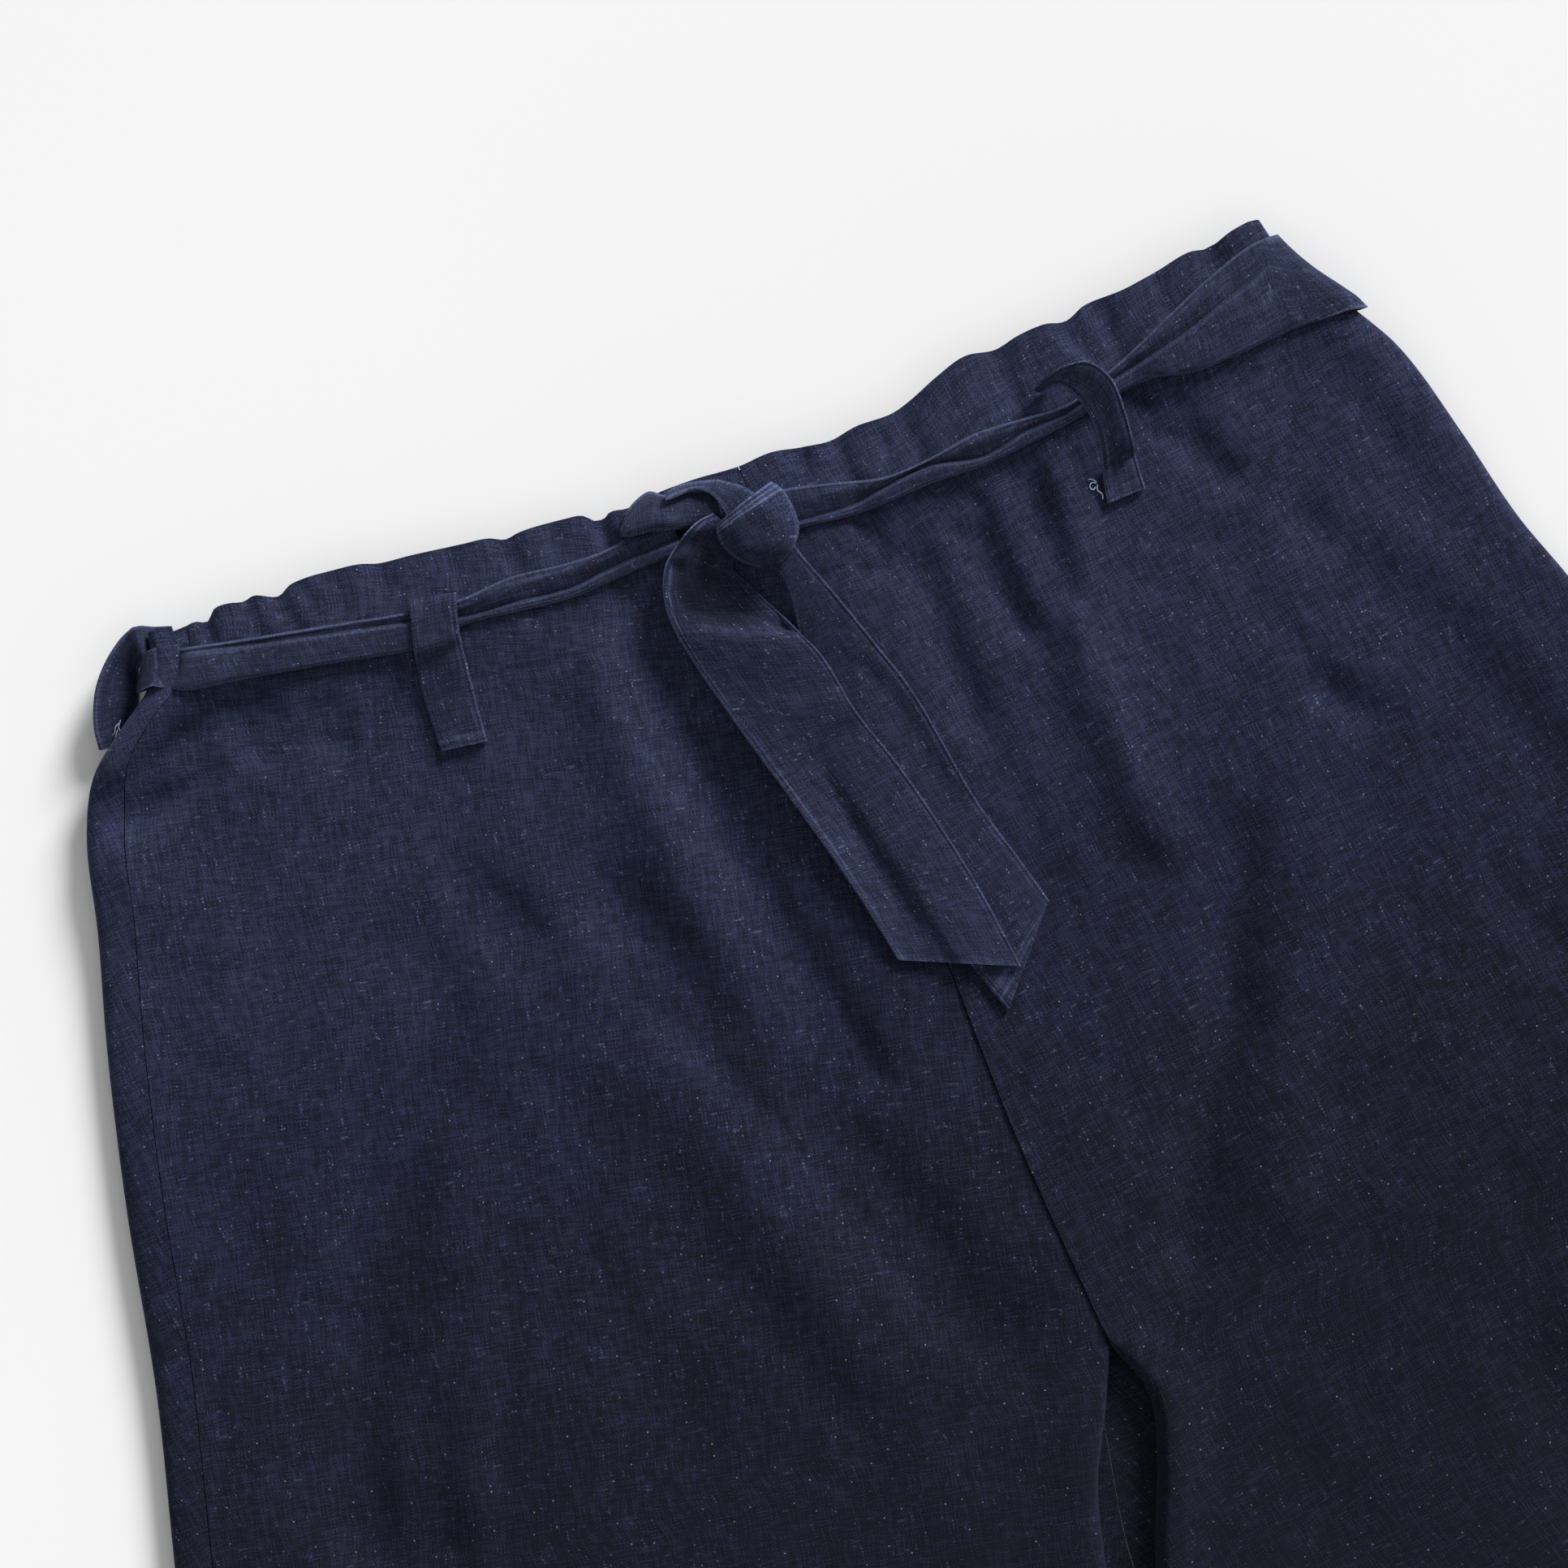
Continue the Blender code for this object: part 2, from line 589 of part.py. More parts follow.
def thick_sheet(outer_rows, inner_rows):
    """Points and faces of a closed wall between two sets of rows that match point for point."""
    points, outer, inner = [], [], []
    for rows, numbers in ((outer_rows, outer), (inner_rows, inner)):
        for row in rows:
            numbers.append(list(range(len(points), len(points) + len(row))))
            points += row
    faces = []
    for k in range(len(outer) - 1):
        faces += strip_between(outer[k], outer[k + 1])
        faces += [face[::-1] for face in strip_between(inner[k], inner[k + 1])]
        faces.append((outer[k][0], inner[k + 1][0], outer[k + 1][0]))
        faces.append((outer[k][0], inner[k][0], inner[k + 1][0]))
        faces.append((outer[k][-1], outer[k + 1][-1], inner[k + 1][-1]))
        faces.append((outer[k][-1], inner[k + 1][-1], inner[k][-1]))
    for number, turned in ((0, False), (-1, True)):
        for a, b, c, d in zip(outer[number], outer[number][1:], inner[number][1:], inner[number]):
            pair = [(a, b, c), (a, c, d)]
            faces += [face[::-1] for face in pair] if turned else pair
    return points, faces


def signed_volume(points, faces):
    return sum(points[a].dot(points[b].cross(points[c])) for a, b, c in faces) / 6.0


def add_piece(name, points, faces, material):
    """A mesh object in metres, with its faces pointing out."""
    placed = [world(point) for point in points]
    if signed_volume(placed, faces) < 0:
        faces = [face[::-1] for face in faces]
    mesh = bpy.data.meshes.new(name)
    mesh.from_pydata([tuple(point) for point in placed], [], faces)
    mesh.materials.append(material)
    mesh.shade_smooth()
    mesh.set_sharp_from_angle(angle=math.radians(40))
    piece = bpy.data.objects.new(name, mesh)
    bpy.context.scene.collection.objects.link(piece)
    return piece


class Surface:
    """What lies below a new piece: the highest point of the pieces laid so far."""

    def __init__(self):
        self.trees = []

    def add(self, points, faces):
        self.trees.append(BVHTree.FromPolygons([tuple(point) for point in points], faces))

    def height(self, u, s):
        best = 0.0
        for tree in self.trees:
            hit = tree.ray_cast(Vector((u, s, SKY)), Vector((0, 0, -1)))[0]
            if hit is not None:
                best = max(best, hit.z)
        return best

    def clear_height(self, u, s, reach):
        """The least height that clears everything within reach of a place."""
        best = self.height(u, s)
        for k in range(REACH_RAYS):
            angle = 2 * math.pi * k / REACH_RAYS
            for share in (0.5, 1.0):
                away_u = share * reach * math.cos(angle)
                away_s = share * reach * math.sin(angle)
                best = max(best, self.height(u + away_u, s + away_s))
        return best + REST_GAP


def smooth_rows(rows, steps):
    """More rows through the given ones, each column on a smooth curve."""
    keyed = [(float(k), *row) for k, row in enumerate(rows)]
    count = (len(rows) - 1) * steps
    columns = range(1, len(keyed[0]))
    return [
        tuple(read_table(keyed, k / steps, column) for column in columns) for k in range(count + 1)
    ]


def belt_front_row(surface, row):
    """One section of the belt: the upper layer, the crease and the lower layer."""
    u, top, crease, bottom, upper, lower = row
    upper_s = [mix(top, crease - 0.4, share) for share in BELT_ACROSS]
    lower_s = [mix(crease + 0.4, bottom, share) for share in BELT_ACROSS]
    outer, inner = [], []
    for s, height in [(s, upper) for s in upper_s] + [(s, lower) for s in lower_s]:
        low = surface.clear_height(u, s, BELT_REACH)
        inner.append(Vector((u, s, low)))
        outer.append(Vector((u, s, low + height)))
    outer[0].z -= 0.5
    outer[-1].z -= 0.6
    return outer, inner


def belt_turn_row(side, top, bottom, angle, slack):
    """A section where the belt turns round the waist's edge, at an angle from the front's up."""
    outer, inner = [], []
    count = 2 * len(BELT_ACROSS)
    for k in range(count):
        share = k / (count - 1)
        station = mix(top, bottom, share)
        edge_start = outer_edge(side, station) - side * EDGE_ROUND
        high = front_height(side, station, edge_start)
        low = underside(side, station, edge_start)
        bulge = REST_GAP + 0.3 + slack * share * math.sin(angle)
        for offset, row in ((bulge, inner), (bulge + BELT_CLOTH, outer)):
            u = edge_start + side * (EDGE_ROUND + offset) * math.sin(angle)
            z = 0.5 * (high + low) + (0.5 * (high - low) + offset) * math.cos(angle)
            row.append(Vector((u, station, z)))
    return outer, inner


def belt_under_row(u, side, top, bottom, sag):
    """A section of the belt under the waist, at its underside or down on what the part lies on."""
    outer, inner = [], []
    count = 2 * len(BELT_ACROSS)
    for k in range(count):
        station = mix(top, bottom, k / (count - 1))
        hung = BACK_RAISE - REST_GAP - 0.3 - BELT_CLOTH
        low = mix(hung, 0.0, sag)
        s = row_place(side, station, u)
        outer.append(Vector((u, s, low)))
        inner.append(Vector((u, s, low + BELT_CLOTH)))
    return outer, inner


def belt_front(surface, side, table):
    rows = [belt_front_row(surface, row) for row in smooth_rows(table, 2)]
    if side == LEFT:
        rows.reverse()
    _, top, bottom = next(row for row in BELT_BACK_SIDES if row[0] == side)
    for k in range(1, BELT_TURN_STEPS + 1):
        angle = math.pi * k / (BELT_TURN_STEPS + 1)
        rows.append(belt_turn_row(side, top, bottom, angle, BELT_EDGE_SLACK[side]))
    edge = outer_edge(side, 0.5 * (top + bottom)) - side * EDGE_ROUND
    for away in (0.0, BELT_TURN_IN):
        rows.append(belt_under_row(edge - side * away, side, top, bottom, 0.0))
    return thick_sheet([row[0] for row in rows], [row[1] for row in rows])


def belt_behind():
    """The stretch under the waist, which sags to the floor between the loops."""
    ends = []
    for side, top, bottom in BELT_BACK_SIDES:
        edge = outer_edge(side, 0.5 * (top + bottom)) - side * EDGE_ROUND
        ends.append(edge - side * (BELT_TURN_IN + SEAM_GAP))
    loops = [back_inner_edge(LEFT, 20.0), outer_edge(RIGHT, 25.0) - SIDE_LOOP_IN, ends[0]]
    rows = []
    for k in range(BELT_BACK_COLUMNS + 1):
        share = k / BELT_BACK_COLUMNS
        u = mix(ends[0], ends[1], share)
        top = mix(BELT_BACK_SIDES[0][1], BELT_BACK_SIDES[1][1], ease(share * 1.6))
        bottom = mix(BELT_BACK_SIDES[0][2], BELT_BACK_SIDES[1][2], ease(share * 1.6))
        nearest = min(abs(u - place) for place in loops)
        sag = ease((nearest - 0.5 * LOOP_WIDTH - BELT_LOOP_CLEAR) / 24.0)
        rows.append(belt_under_row(u, LEFT if u < 0 else RIGHT, top, bottom, sag))
    return thick_sheet([row[0] for row in rows], [row[1] for row in rows])


def strip(surface, table, steps, across, crown):
    """A laid strip: flat with a wall, or with a rounded crown as high as the wall."""
    outer_rows, inner_rows = [], []
    for left_u, left_s, right_u, right_s, low_left, low_right, wall in smooth_rows(table, steps):
        outer, inner = [], []
        for k in range(across + 1):
            share = k / across
            u, s = mix(left_u, right_u, share), mix(left_s, right_s, share)
            low = max(surface.clear_height(u, s, STRIP_REACH), mix(low_left, low_right, share))
            round_share = math.sqrt(max(0.0, 1 - (2 * share - 1) ** 2)) if crown else 1.0
            inner.append(Vector((u, s, low)))
            outer.append(Vector((u, s, low + max(wall * round_share, CROWN_EDGE if crown else 0.0))))
        outer_rows.append(outer)
        inner_rows.append(inner)
    return thick_sheet(outer_rows, inner_rows)


def loop_under(middle):
    """A loop on the underside, flat on the floor below the belt and up to the panel at its ends."""
    outer_rows, inner_rows = [], []
    for station in LOOP_UNDER_STATIONS:
        centre = middle(station)
        side = LEFT if centre < 0 else RIGHT
        at_end = station < 3.0 or station > 46.0
        outer, inner = [], []
        for share in (-0.5, 0.0, 0.5):
            u = centre + share * LOOP_WIDTH
            sewn = underside(side, station, u) - SEAM_GAP - LOOP_CLOTH - BACK_GATHER_DEPTH * 0.1
            low = min(sewn, BACK_RAISE - REST_GAP - LOOP_CLOTH) if at_end else 0.0
            s = row_place(side, station, u)
            outer.append(Vector((u, s, low)))
            inner.append(Vector((u, s, low + LOOP_CLOTH)))
        outer_rows.append(outer)
        inner_rows.append(inner)
    return thick_sheet(outer_rows, inner_rows)


def loop_beside():
    """The left side's loop, which stands on its edge and bows away from the waist."""
    outer_rows, inner_rows = [], []
    rows = smooth_rows(LOOP_SIDE_LEFT, 2)
    for k, (u, s, low, high) in enumerate(rows):
        before, after = rows[max(k - 1, 0)], rows[min(k + 1, len(rows) - 1)]
        run = Vector((after[0] - before[0], after[1] - before[1], 0.0)).normalized()
        inward = Vector((-run.y, run.x, 0.0)) if -run.y > 0 else Vector((run.y, -run.x, 0.0))
        outer = [Vector((u, s, mix(low, high, share))) for share in (0.0, 0.5, 1.0)]
        outer_rows.append(outer)
        inner_rows.append([point + inward * LOOP_CLOTH for point in outer])
    return thick_sheet(outer_rows, inner_rows)


def cloth_material(name, colour):
    material = bpy.data.materials.new(name)
    material.use_nodes = True
    shader = material.node_tree.nodes["Principled BSDF"]
    shader.inputs["Base Color"].default_value = (*colour, 1.0)
    shader.inputs["Roughness"].default_value = ROUGHNESS
    shader.inputs["Metallic"].default_value = 0.0
    return material


def clear_scene():
    for item in list(bpy.data.objects):
        bpy.data.objects.remove(item, do_unlink=True)


def make_panels(surface, material):
    for side, word in ((LEFT, "left"), (RIGHT, "right")):
        for front, face in ((True, "front"), (False, "back")):
            points, faces = thick_sheet(*panel_rows(side, front))
            add_piece(f"{face}_{word}", points, faces, material)
            surface.add(points, faces)


def make_belt(surface, material):
    """The belt's stretches, its knot and its two free ends, each laid on those before it."""
    for name, side, table in (("belt_left", LEFT, BELT_LEFT), ("belt_right", RIGHT, BELT_RIGHT)):
        points, faces = belt_front(surface, side, table)
        add_piece(name, points, faces, material)
        surface.add(points, faces)
    add_piece("belt_back", *belt_behind(), material)
    for name, table, across, crown in (
        ("loop_front_left", LOOP_FRONT_LEFT, 2, False),
        ("loop_front_right", LOOP_FRONT_RIGHT, 2, False),
        ("tail_under", TAIL_UNDER, 4, False),
        ("tail_over", TAIL_OVER, 4, False),
        ("knot_loop", KNOT_LOOP, 4, True),
        ("knot_wrap", KNOT_WRAP, 6, True),
    ):
        points, faces = strip(surface, table, 2, across, crown)
        add_piece(name, points, faces, material)
        surface.add(points, faces)


def make_other_loops(material):
    add_piece("loop_side_left", *loop_beside(), material)
    add_piece("loop_side_right", *loop_under(lambda station: outer_edge(RIGHT, station) - SIDE_LOOP_IN), material)
    add_piece("loop_back", *loop_under(lambda station: back_inner_edge(LEFT, station)), material)


def main():
    clear_scene()
    surface = Surface()
    make_panels(surface, cloth_material("indigo cloth", INDIGO))
    belt_cloth = cloth_material("indigo belt cloth", INDIGO_BELT)
    make_belt(surface, belt_cloth)
    make_other_loops(belt_cloth)


main()
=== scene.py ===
"""Looks of the samue trousers: the cloth, its creases, the sewing, the light and the camera.

Sizes are in millimetres. A place on the garment is u, across it, s, down from the waist, and z, up
from the floor. Left and right are the picture's, seen from the front.
"""

import math

import bpy
import numpy as np
from mathutils import Matrix, Vector
from mathutils.bvhtree import BVHTree

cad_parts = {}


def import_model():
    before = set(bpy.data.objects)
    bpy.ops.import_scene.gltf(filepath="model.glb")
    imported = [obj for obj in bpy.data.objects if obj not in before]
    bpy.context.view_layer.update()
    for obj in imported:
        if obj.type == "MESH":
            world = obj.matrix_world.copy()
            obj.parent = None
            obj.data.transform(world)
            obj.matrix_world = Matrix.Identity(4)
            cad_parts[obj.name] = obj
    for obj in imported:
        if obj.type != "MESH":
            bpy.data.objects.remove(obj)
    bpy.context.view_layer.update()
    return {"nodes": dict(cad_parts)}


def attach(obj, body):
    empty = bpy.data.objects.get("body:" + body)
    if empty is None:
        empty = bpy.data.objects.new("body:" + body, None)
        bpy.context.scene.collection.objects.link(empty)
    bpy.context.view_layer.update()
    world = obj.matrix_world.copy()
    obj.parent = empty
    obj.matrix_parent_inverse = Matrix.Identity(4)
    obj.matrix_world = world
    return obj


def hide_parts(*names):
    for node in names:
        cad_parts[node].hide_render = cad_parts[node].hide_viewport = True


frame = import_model()

METRES = 0.001
# x is u less ORIGIN_U, and y is ORIGIN_S less s.
ORIGIN_U, ORIGIN_S = 10.0, 511.0
LEFT, RIGHT = -1, 1

# Walls, and the gaps between them.
CLOTH, CASING_WALL, BELT_CLOTH, LOOP_CLOTH = 1.2, 2.4, 1.9, 1.7
CASING_DEPTH = 50.0
SEAM_GAP, REST_GAP, LAYER_GAP = 0.3, 0.4, 0.7

# Each leg is a flat tube with rounded edges.
HEM_TILT, HEM_TILT_FROM, HEM_TILT_LENGTH = 23.0, 350.0, 650.0
SIDE_SEAM_IN = 14.0
EDGE_ROUND, INNER_ROUND = 4.6, 4.5
FRONT_CROTCH, BACK_CROTCH = 348.0, 426.0
BACK_RAISE = 4.4
BACK_EDGE_LOWER, BACK_EDGE_LOWER_LENGTH = 2.5, 60.0
SIDE_ROLL, SIDE_ROLL_IN, SIDE_ROLL_WIDTH = 1.5, 9.0, 9.0
LEG_ROLL, LEG_ROLL_IN, LEG_ROLL_WIDTH = 1.3, 7.0, 11.0
CROTCH_ROLL, CROTCH_ROLL_STATION, CROTCH_ROLL_LENGTH = 5.5, 400.0, 70.0
# Where the front's roll starts, the front's inner edge drops and the back's inner edge rises.
LEG_ROLL_FROM, LEG_ROLL_GROW = FRONT_CROTCH - 20.0, 60.0
LEG_DROP_FROM, LEG_DROP_GROW = FRONT_CROTCH - 6.0, 18.0
LEG_RISE_FROM, LEG_RISE_GROW = BACK_CROTCH + 14.0, 30.0
SEAM_RIDGE = {LEFT: -0.5, RIGHT: 0.8}
SEAM_RIDGE_WIDTH, SEAM_RIDGE_GROW = 6.0, 60.0

# The back's centre seam: u at the waist, lower down and at the crotch, and the lengths between.
BACK_SEAM_TOP, BACK_SEAM_LOW, BACK_SEAM_CROTCH = 7.0, 13.0, 3.0
BACK_SEAM_LENGTH, BACK_LEG_LENGTH = 300.0, 36.0

# The panels' grids, and the places round the tube that a panel's stretching leaves as they are.
FRONT_COLUMNS, BACK_COLUMNS = 116, 60
ROUND_STEPS = 7
PLACE_STEP = 0.01
PANEL_MIDDLE = 300.0
FIXED_PLACE = {(True, LEFT): 0.0, (False, LEFT): 1.0, (True, RIGHT): 2.0, (False, RIGHT): 3.0}

OUTER_EDGES = (
    # station, left, right
    (0, -205, 204),
    (10, -207.5, 206.5),
    (21, -212.5, 211.5),
    (31, -226, 218),
    (42, -239, 225),
    (58, -248, 234),
    (94, -257.6, 245),
    (128, -267.4, 253.5),
    (150, -273, 261.5),
    (188, -281.6, 274),
    (250, -293.6, 289),
    (307, -308, 303),
    (348, -318, 314),
    (424, -335, 328.5),
    (500, -345, 341),
    (650, -361, 363),
    (800, -377, 386),
    (1000, -398, 418),
)
FRONT_SEAM = (
    # station, u
    (0, 6),
    (42, 8.5),
    (128, 12.2),
    (210, 14.8),
    (268, 16),
    (330, 20.4),
    (348, 22),
)
LEG_INNER_EDGES = (
    # station, left, right
    (348, 22, 22),
    (368, 13, 28.5),
    (390, 2, 23.5),
    (424, -7, 10.3),
    (460, -16, 6),
    (500, -28, 10),
    (560, -54, 23),
    (650, -90, 57),
    (800, -140, 121),
    (1000, -182, 198),
)
SIDE_COLUMN = {LEFT: 1, RIGHT: 2}

# How far the waist's upper edge dips below its two corners.
WAIST_DIP = (
    # u, dip
    (-210, -0.9),
    (-182, 3.6),
    (-156, 5.2),
    (-129, 5.4),
    (-104, 8.9),
    (-79, 13.6),
    (-52, 15.3),
    (-26, 16.3),
    (0, 18),
    (27, 18.8),
    (53, 18.6),
    (83, 13.3),
    (111, 9.9),
    (138, 7.3),
    (166, 4.5),
    (194, 0.8),
    (210, -0.4),
)
DIP_FADE = 150.0

# The waist's upper edge as it shows, with the notches that the elastic draws between its puffs.
WAIST_EDGE = (
    # u, dip
    (-206, 0.4),
    (-200, 2.7),
    (-195, 4.7),
    (-188, 4.1),
    (-184, 5.4),
    (-180.5, 2.3),
    (-175, 2.1),
    (-170, 3.3),
    (-166, 2.6),
    (-158, 5.7),
    (-153, 3.4),
    (-147, 3),
    (-136, 3.9),
    (-128, 5),
    (-122, 6.9),
    (-110, 8.3),
    (-92, 10.8),
    (-83, 12.1),
    (-78, 14.3),
    (-73, 13.7),
    (-56, 14.8),
    (-50, 16),
    (-45.5, 20),
    (-41, 18),
    (-35, 18.8),
    (-26, 17.6),
    (-10, 17.4),
    (6, 18.5),
    (18, 17.8),
    (29, 19.8),
    (38, 21.1),
    (49, 19.5),
    (62, 19.5),
    (70, 17.3),
    (80, 13.3),
    (92, 9.8),
    (103, 11.2),
    (112, 9.4),
    (122, 8.9),
    (129, 10.4),
    (137, 7.5),
    (151, 7.1),
    (165, 5),
    (177, 2.8),
    (184, 3.7),
    (193, 1.1),
    (206, -0.7),
)
EDGE_FADE = 26.0

# The casing stands up between its edge and the stitched groove below it.
STITCH_GROOVE, STITCH_GROOVE_WIDTH = 0.45, 1.6
CASING_PUFF, CASING_PUFF_STATION, CASING_PUFF_LENGTH = 3.4, 27.0, 19.0
CASING_PUFF_GROW, GATHER_GROW = 30.0, 8.0

# The front's height over the surface, away from folds, and the back's underside.
LEVELS = (
    # station, front, underside
    (0.0, 11.2, BACK_RAISE),
    (50.0, 11.2, BACK_RAISE),
    (75, 9.8, 2.2),
    (105, 8.2, 0),
    (180, 7.6, 0),
    (420, 7.6, 0),
    (600, 6, 0),
    (1000, 5.4, 0),
)

# Soft folds of the front: a ridge where the height is above nought, a valley where it is below.
# Their heights are multiplied by FOLD_DEPTH, and fade towards the outer edge.
FOLD_DEPTH = 1.7
FOLD_EDGE_OUT, FOLD_EDGE_FADE = 4.0, 14.0
FOLDS = (
    # start u, start s, end u, end s, bow, half width, height
    (-178, 38, -242, 62, 2, 8, -3),
    (-186, 20, -236, 44, 2, 7, 2.6),
    (-177, 33, -182, 60, 0, 6, -1.6),
    (-157, 44, -155, 66, 0, 6, -1.4),
    (-136, 118, -94, 192, 3, 12, -2),
    (-90, 138, -13, 347, -9, 15, -2.4),
    (-116, 150, -58, 330, -8, 16, 2.2),
    (-43, 40, -25, 235, 5, 12, -2.3),
    (-62, 60, -52, 225, 4, 13, 2.4),
    (-150, 130, -194, 216, -8, 14, -2.2),
    (-194, 214, -249, 332, 4, 14, -2.2),
    (-180, 250, -221, 342, 4, 10, -1.6),
    (-166, 200, -206, 330, 4, 11, 2),
    (41, 40, 37, 70, 0, 6, -1.6),
    (53, 66, 53, 134, 0, 8, -2.1),
    (72, 52, 80, 108, 2, 7, -2),
    (96, 48, 96, 102, -3, 7, -2.1),
    (109, 52, 100, 194, 8, 10, 2.8),
    (148, 40, 165, 84, 2, 7, -2),
    (183, 96, 186, 116, 0, 7, -1.3),
    (167, 156, 184, 178, 0, 8, -1.4),
    (191, 122, 236, 222, -5, 14, -1),
    (212, 118, 252, 216, -5, 13, 0.8),
    (131, 192, 103, 256, 6, 13, -2.2),
    (103, 254, 58, 333, 4, 13, -2.2),
    (148, 200, 92, 330, 4, 14, 2),
    (-222, 345, -262, 590, -8, 14, -2),
    (-120, 420, -205, 760, 8, 17, 2.6),
    (-290, 640, -315, 930, 6, 15, -2.2),
    (-150, 620, -250, 860, -8, 15, -2),
    (160, 400, 225, 760, 9, 17, -2.4),
    (232, 360, 292, 680, -9, 16, 2.6),
    (90, 470, 190, 800, 10, 15, 2.2),
    (290, 690, 330, 950, 6, 15, -2.2),
)

# Finer creases than the solids have, in the same columns.
CREASES = (
    # start u, start s, end u, end s, bow, half width, height
    (-96, 168, -30, 324, -6, 5, -1.5),
    (-41, 96, -20, 238, 4, 4.5, -1.3),
    (-166, 126, -244, 332, 5, 7, -1.9),
    (-154, 236, -198, 340, 3, 5.5, -1.3),
    (-170, 44, -236, 66, 2, 5, -1.2),
    (-128, 116, -104, 160, 2, 5, -1),
    (78, 56, 86, 120, 2, 4, -1),
    (100, 60, 104, 130, 2, 4, -0.9),
    (133, 190, 98, 262, 4, 6, -1.3),
    (96, 262, 54, 336, 3, 6, -1.2),
    (150, 96, 178, 176, 3, 6, -0.9),
    (-233, 108, -199, 121, 1, 4, 0.6),
    (-246, 66, -214, 82, 2, 4, -0.5),
    (-250, 84, -222, 96, -1, 3.5, 0.4),
    (-182, 52, -150, 57, 1, 2.2, -0.5),
    (-150, 57, -118, 61, -1, 2.2, -0.4),
    (71, 53, 77, 63, 0, 2.5, -0.9),
    (43, 308, 10, 325, 1, 4, 0.7),
    (-60, 70, -44, 150, 2, 5, -0.8),
    (-16, 60, -8, 120, -2, 4, -0.6),
    (60, 90, 70, 190, 2, 6, 0.7),
    (86, 60, 88, 140, 2, 4, 0.8),
    (160, 96, 170, 150, 2, 6, -0.6),
    (210, 60, 222, 96, 1, 5, -0.6),
    (200, 240, 230, 320, -3, 7, -0.8),
    (120, 120, 140, 190, 3, 7, -0.7),
    (-100, 90, -80, 150, 2, 7, -0.6),
    (-230, 150, -214, 230, -3, 7, -0.7),
    (-140, 230, -120, 330, 3, 8, -0.6),
)

# Tucks that the elastic draws in the casing, how far they lean and how far down each one runs.
GATHERS = (
    # u, depth, half width, lean, length
    (-195, 2, 4.5, 3, 42),
    (-184.5, 2, 2.6, -2, 30),
    (-170, 1.6, 3.2, 3, 52),
    (-158.5, 3, 3.4, 7, 34),
    (-151, 1.6, 2.2, 9, 30),
    (-139, 1, 4, 2, 50),
    (-123, 1.4, 5, 4, 34),
    (-98, 0.8, 4, 2, 45),
    (-79, 2.2, 3.6, 4, 40),
    (-62, 1, 3.4, 2, 45),
    (-45.5, 3, 2.8, 3, 60),
    (-34, 1.4, 2.8, 2, 50),
    (8, 0.8, 2, 0, 60),
    (27, 1.5, 3.8, 2, 60),
    (40, 2.4, 4.2, 2, 80),
    (56, 1.1, 3, 1, 50),
    (64, 2.2, 3.6, 6, 48),
    (103, 2.2, 4, -1, 80),
    (129, 3, 3.6, 7, 32),
    (141, 2.4, 4.2, 4, 70),
    (163, 1, 3.4, 3, 60),
    (184, 1.8, 4, 3, 44),
)
BACK_GATHERS, BACK_GATHER_DEPTH = 22, 1.1
BACK_GATHER_UNEVEN, BACK_GATHER_TURN = 1.3, 0.021
BACK_GATHER_FROM, BACK_GATHER_FADE = 35.0, 50.0
BACK_GATHER_IN, BACK_GATHER_GROW = 2.0, 16.0
HALF_WAIST = 210.0

# Slight waves of the laid cloth.
WAVES, WAVE_SEED, WAVE_SLOPE = 26, 7, 0.0022
WAVE_LENGTHS = (14.0, 70.0)
# The waves and the finer creases start a little inside the edges.
OUTER_PLAIN, OUTER_GROW, INNER_PLAIN, INNER_GROW = 2.0, 12.0, 1.0, 8.0

# The belt along the front: its two edges, the crease between its folded layers and their heights.
BELT_LEFT = (
    # u, top, crease, bottom, upper height, lower height
    (-203.5, 9, 11, 23, 2.2, 3.4),
    (-196, 10.9, 13, 26.4, 2.2, 3.8),
    (-176, 15.2, 18, 29.3, 2.2, 3.8),
    (-147, 20.8, 24, 34.4, 2.2, 3.8),
    (-119, 26.3, 30, 39.6, 2.2, 3.8),
    (-100, 28.6, 34.6, 37.5, 4.2, 2.4),
    (-80, 27.4, 36.2, 39.8, 4.4, 2.4),
    (-63, 29.4, 38, 41.5, 4.4, 2.4),
    (-49, 30, 36.6, 40.8, 4.4, 2.6),
    (-36, 28.6, 35.6, 40, 4.2, 2.8),
    (-22, 30, 35.5, 40, 4, 3),
)
BELT_RIGHT = (
    # u, top, crease, bottom, upper height, lower height
    (12, 31.6, 42.6, 46, 4, 2.2),
    (20, 31.8, 43.6, 46.2, 4, 2.2),
    (38, 36.2, 44.6, 48.2, 4, 2.2),
    (52, 39.4, 42.6, 48, 4, 3),
    (68, 38.7, 41.5, 47.2, 3.6, 4),
    (84, 36.4, 44.6, 47.8, 4.2, 2.6),
    (94, 36.4, 43.6, 46.9, 4.2, 2.6),
    (103, 37, 41.4, 46, 4.2, 2.8),
    (120, 37.6, 40.2, 43.8, 4, 3.2),
    (136, 32.2, 35.6, 40.6, 4.2, 3.6),
    (150, 26.6, 32.6, 39.6, 4.6, 3.8),
    (164, 20.4, 29.2, 42.6, 4.6, 3.6),
    (180, 13.6, 24, 42, 4, 3.2),
    (194, 8.8, 19.6, 41, 3.2, 3),
    (200.5, 7.6, 16, 40.4, 2.6, 2.8),
)
BELT_WIDTH, BELT_SEEN_WIDTH = 36.0, 30.0
BELT_ROW_STEPS = 9
# Its two layers become one towards the waist's edge, over these lengths.
BELT_EDGE_STATION, BELT_EDGE_IN = 15.0, 8.0
BELT_LAYERS_FADE, BELT_HEIGHT_FADE = 34.0, 14.0
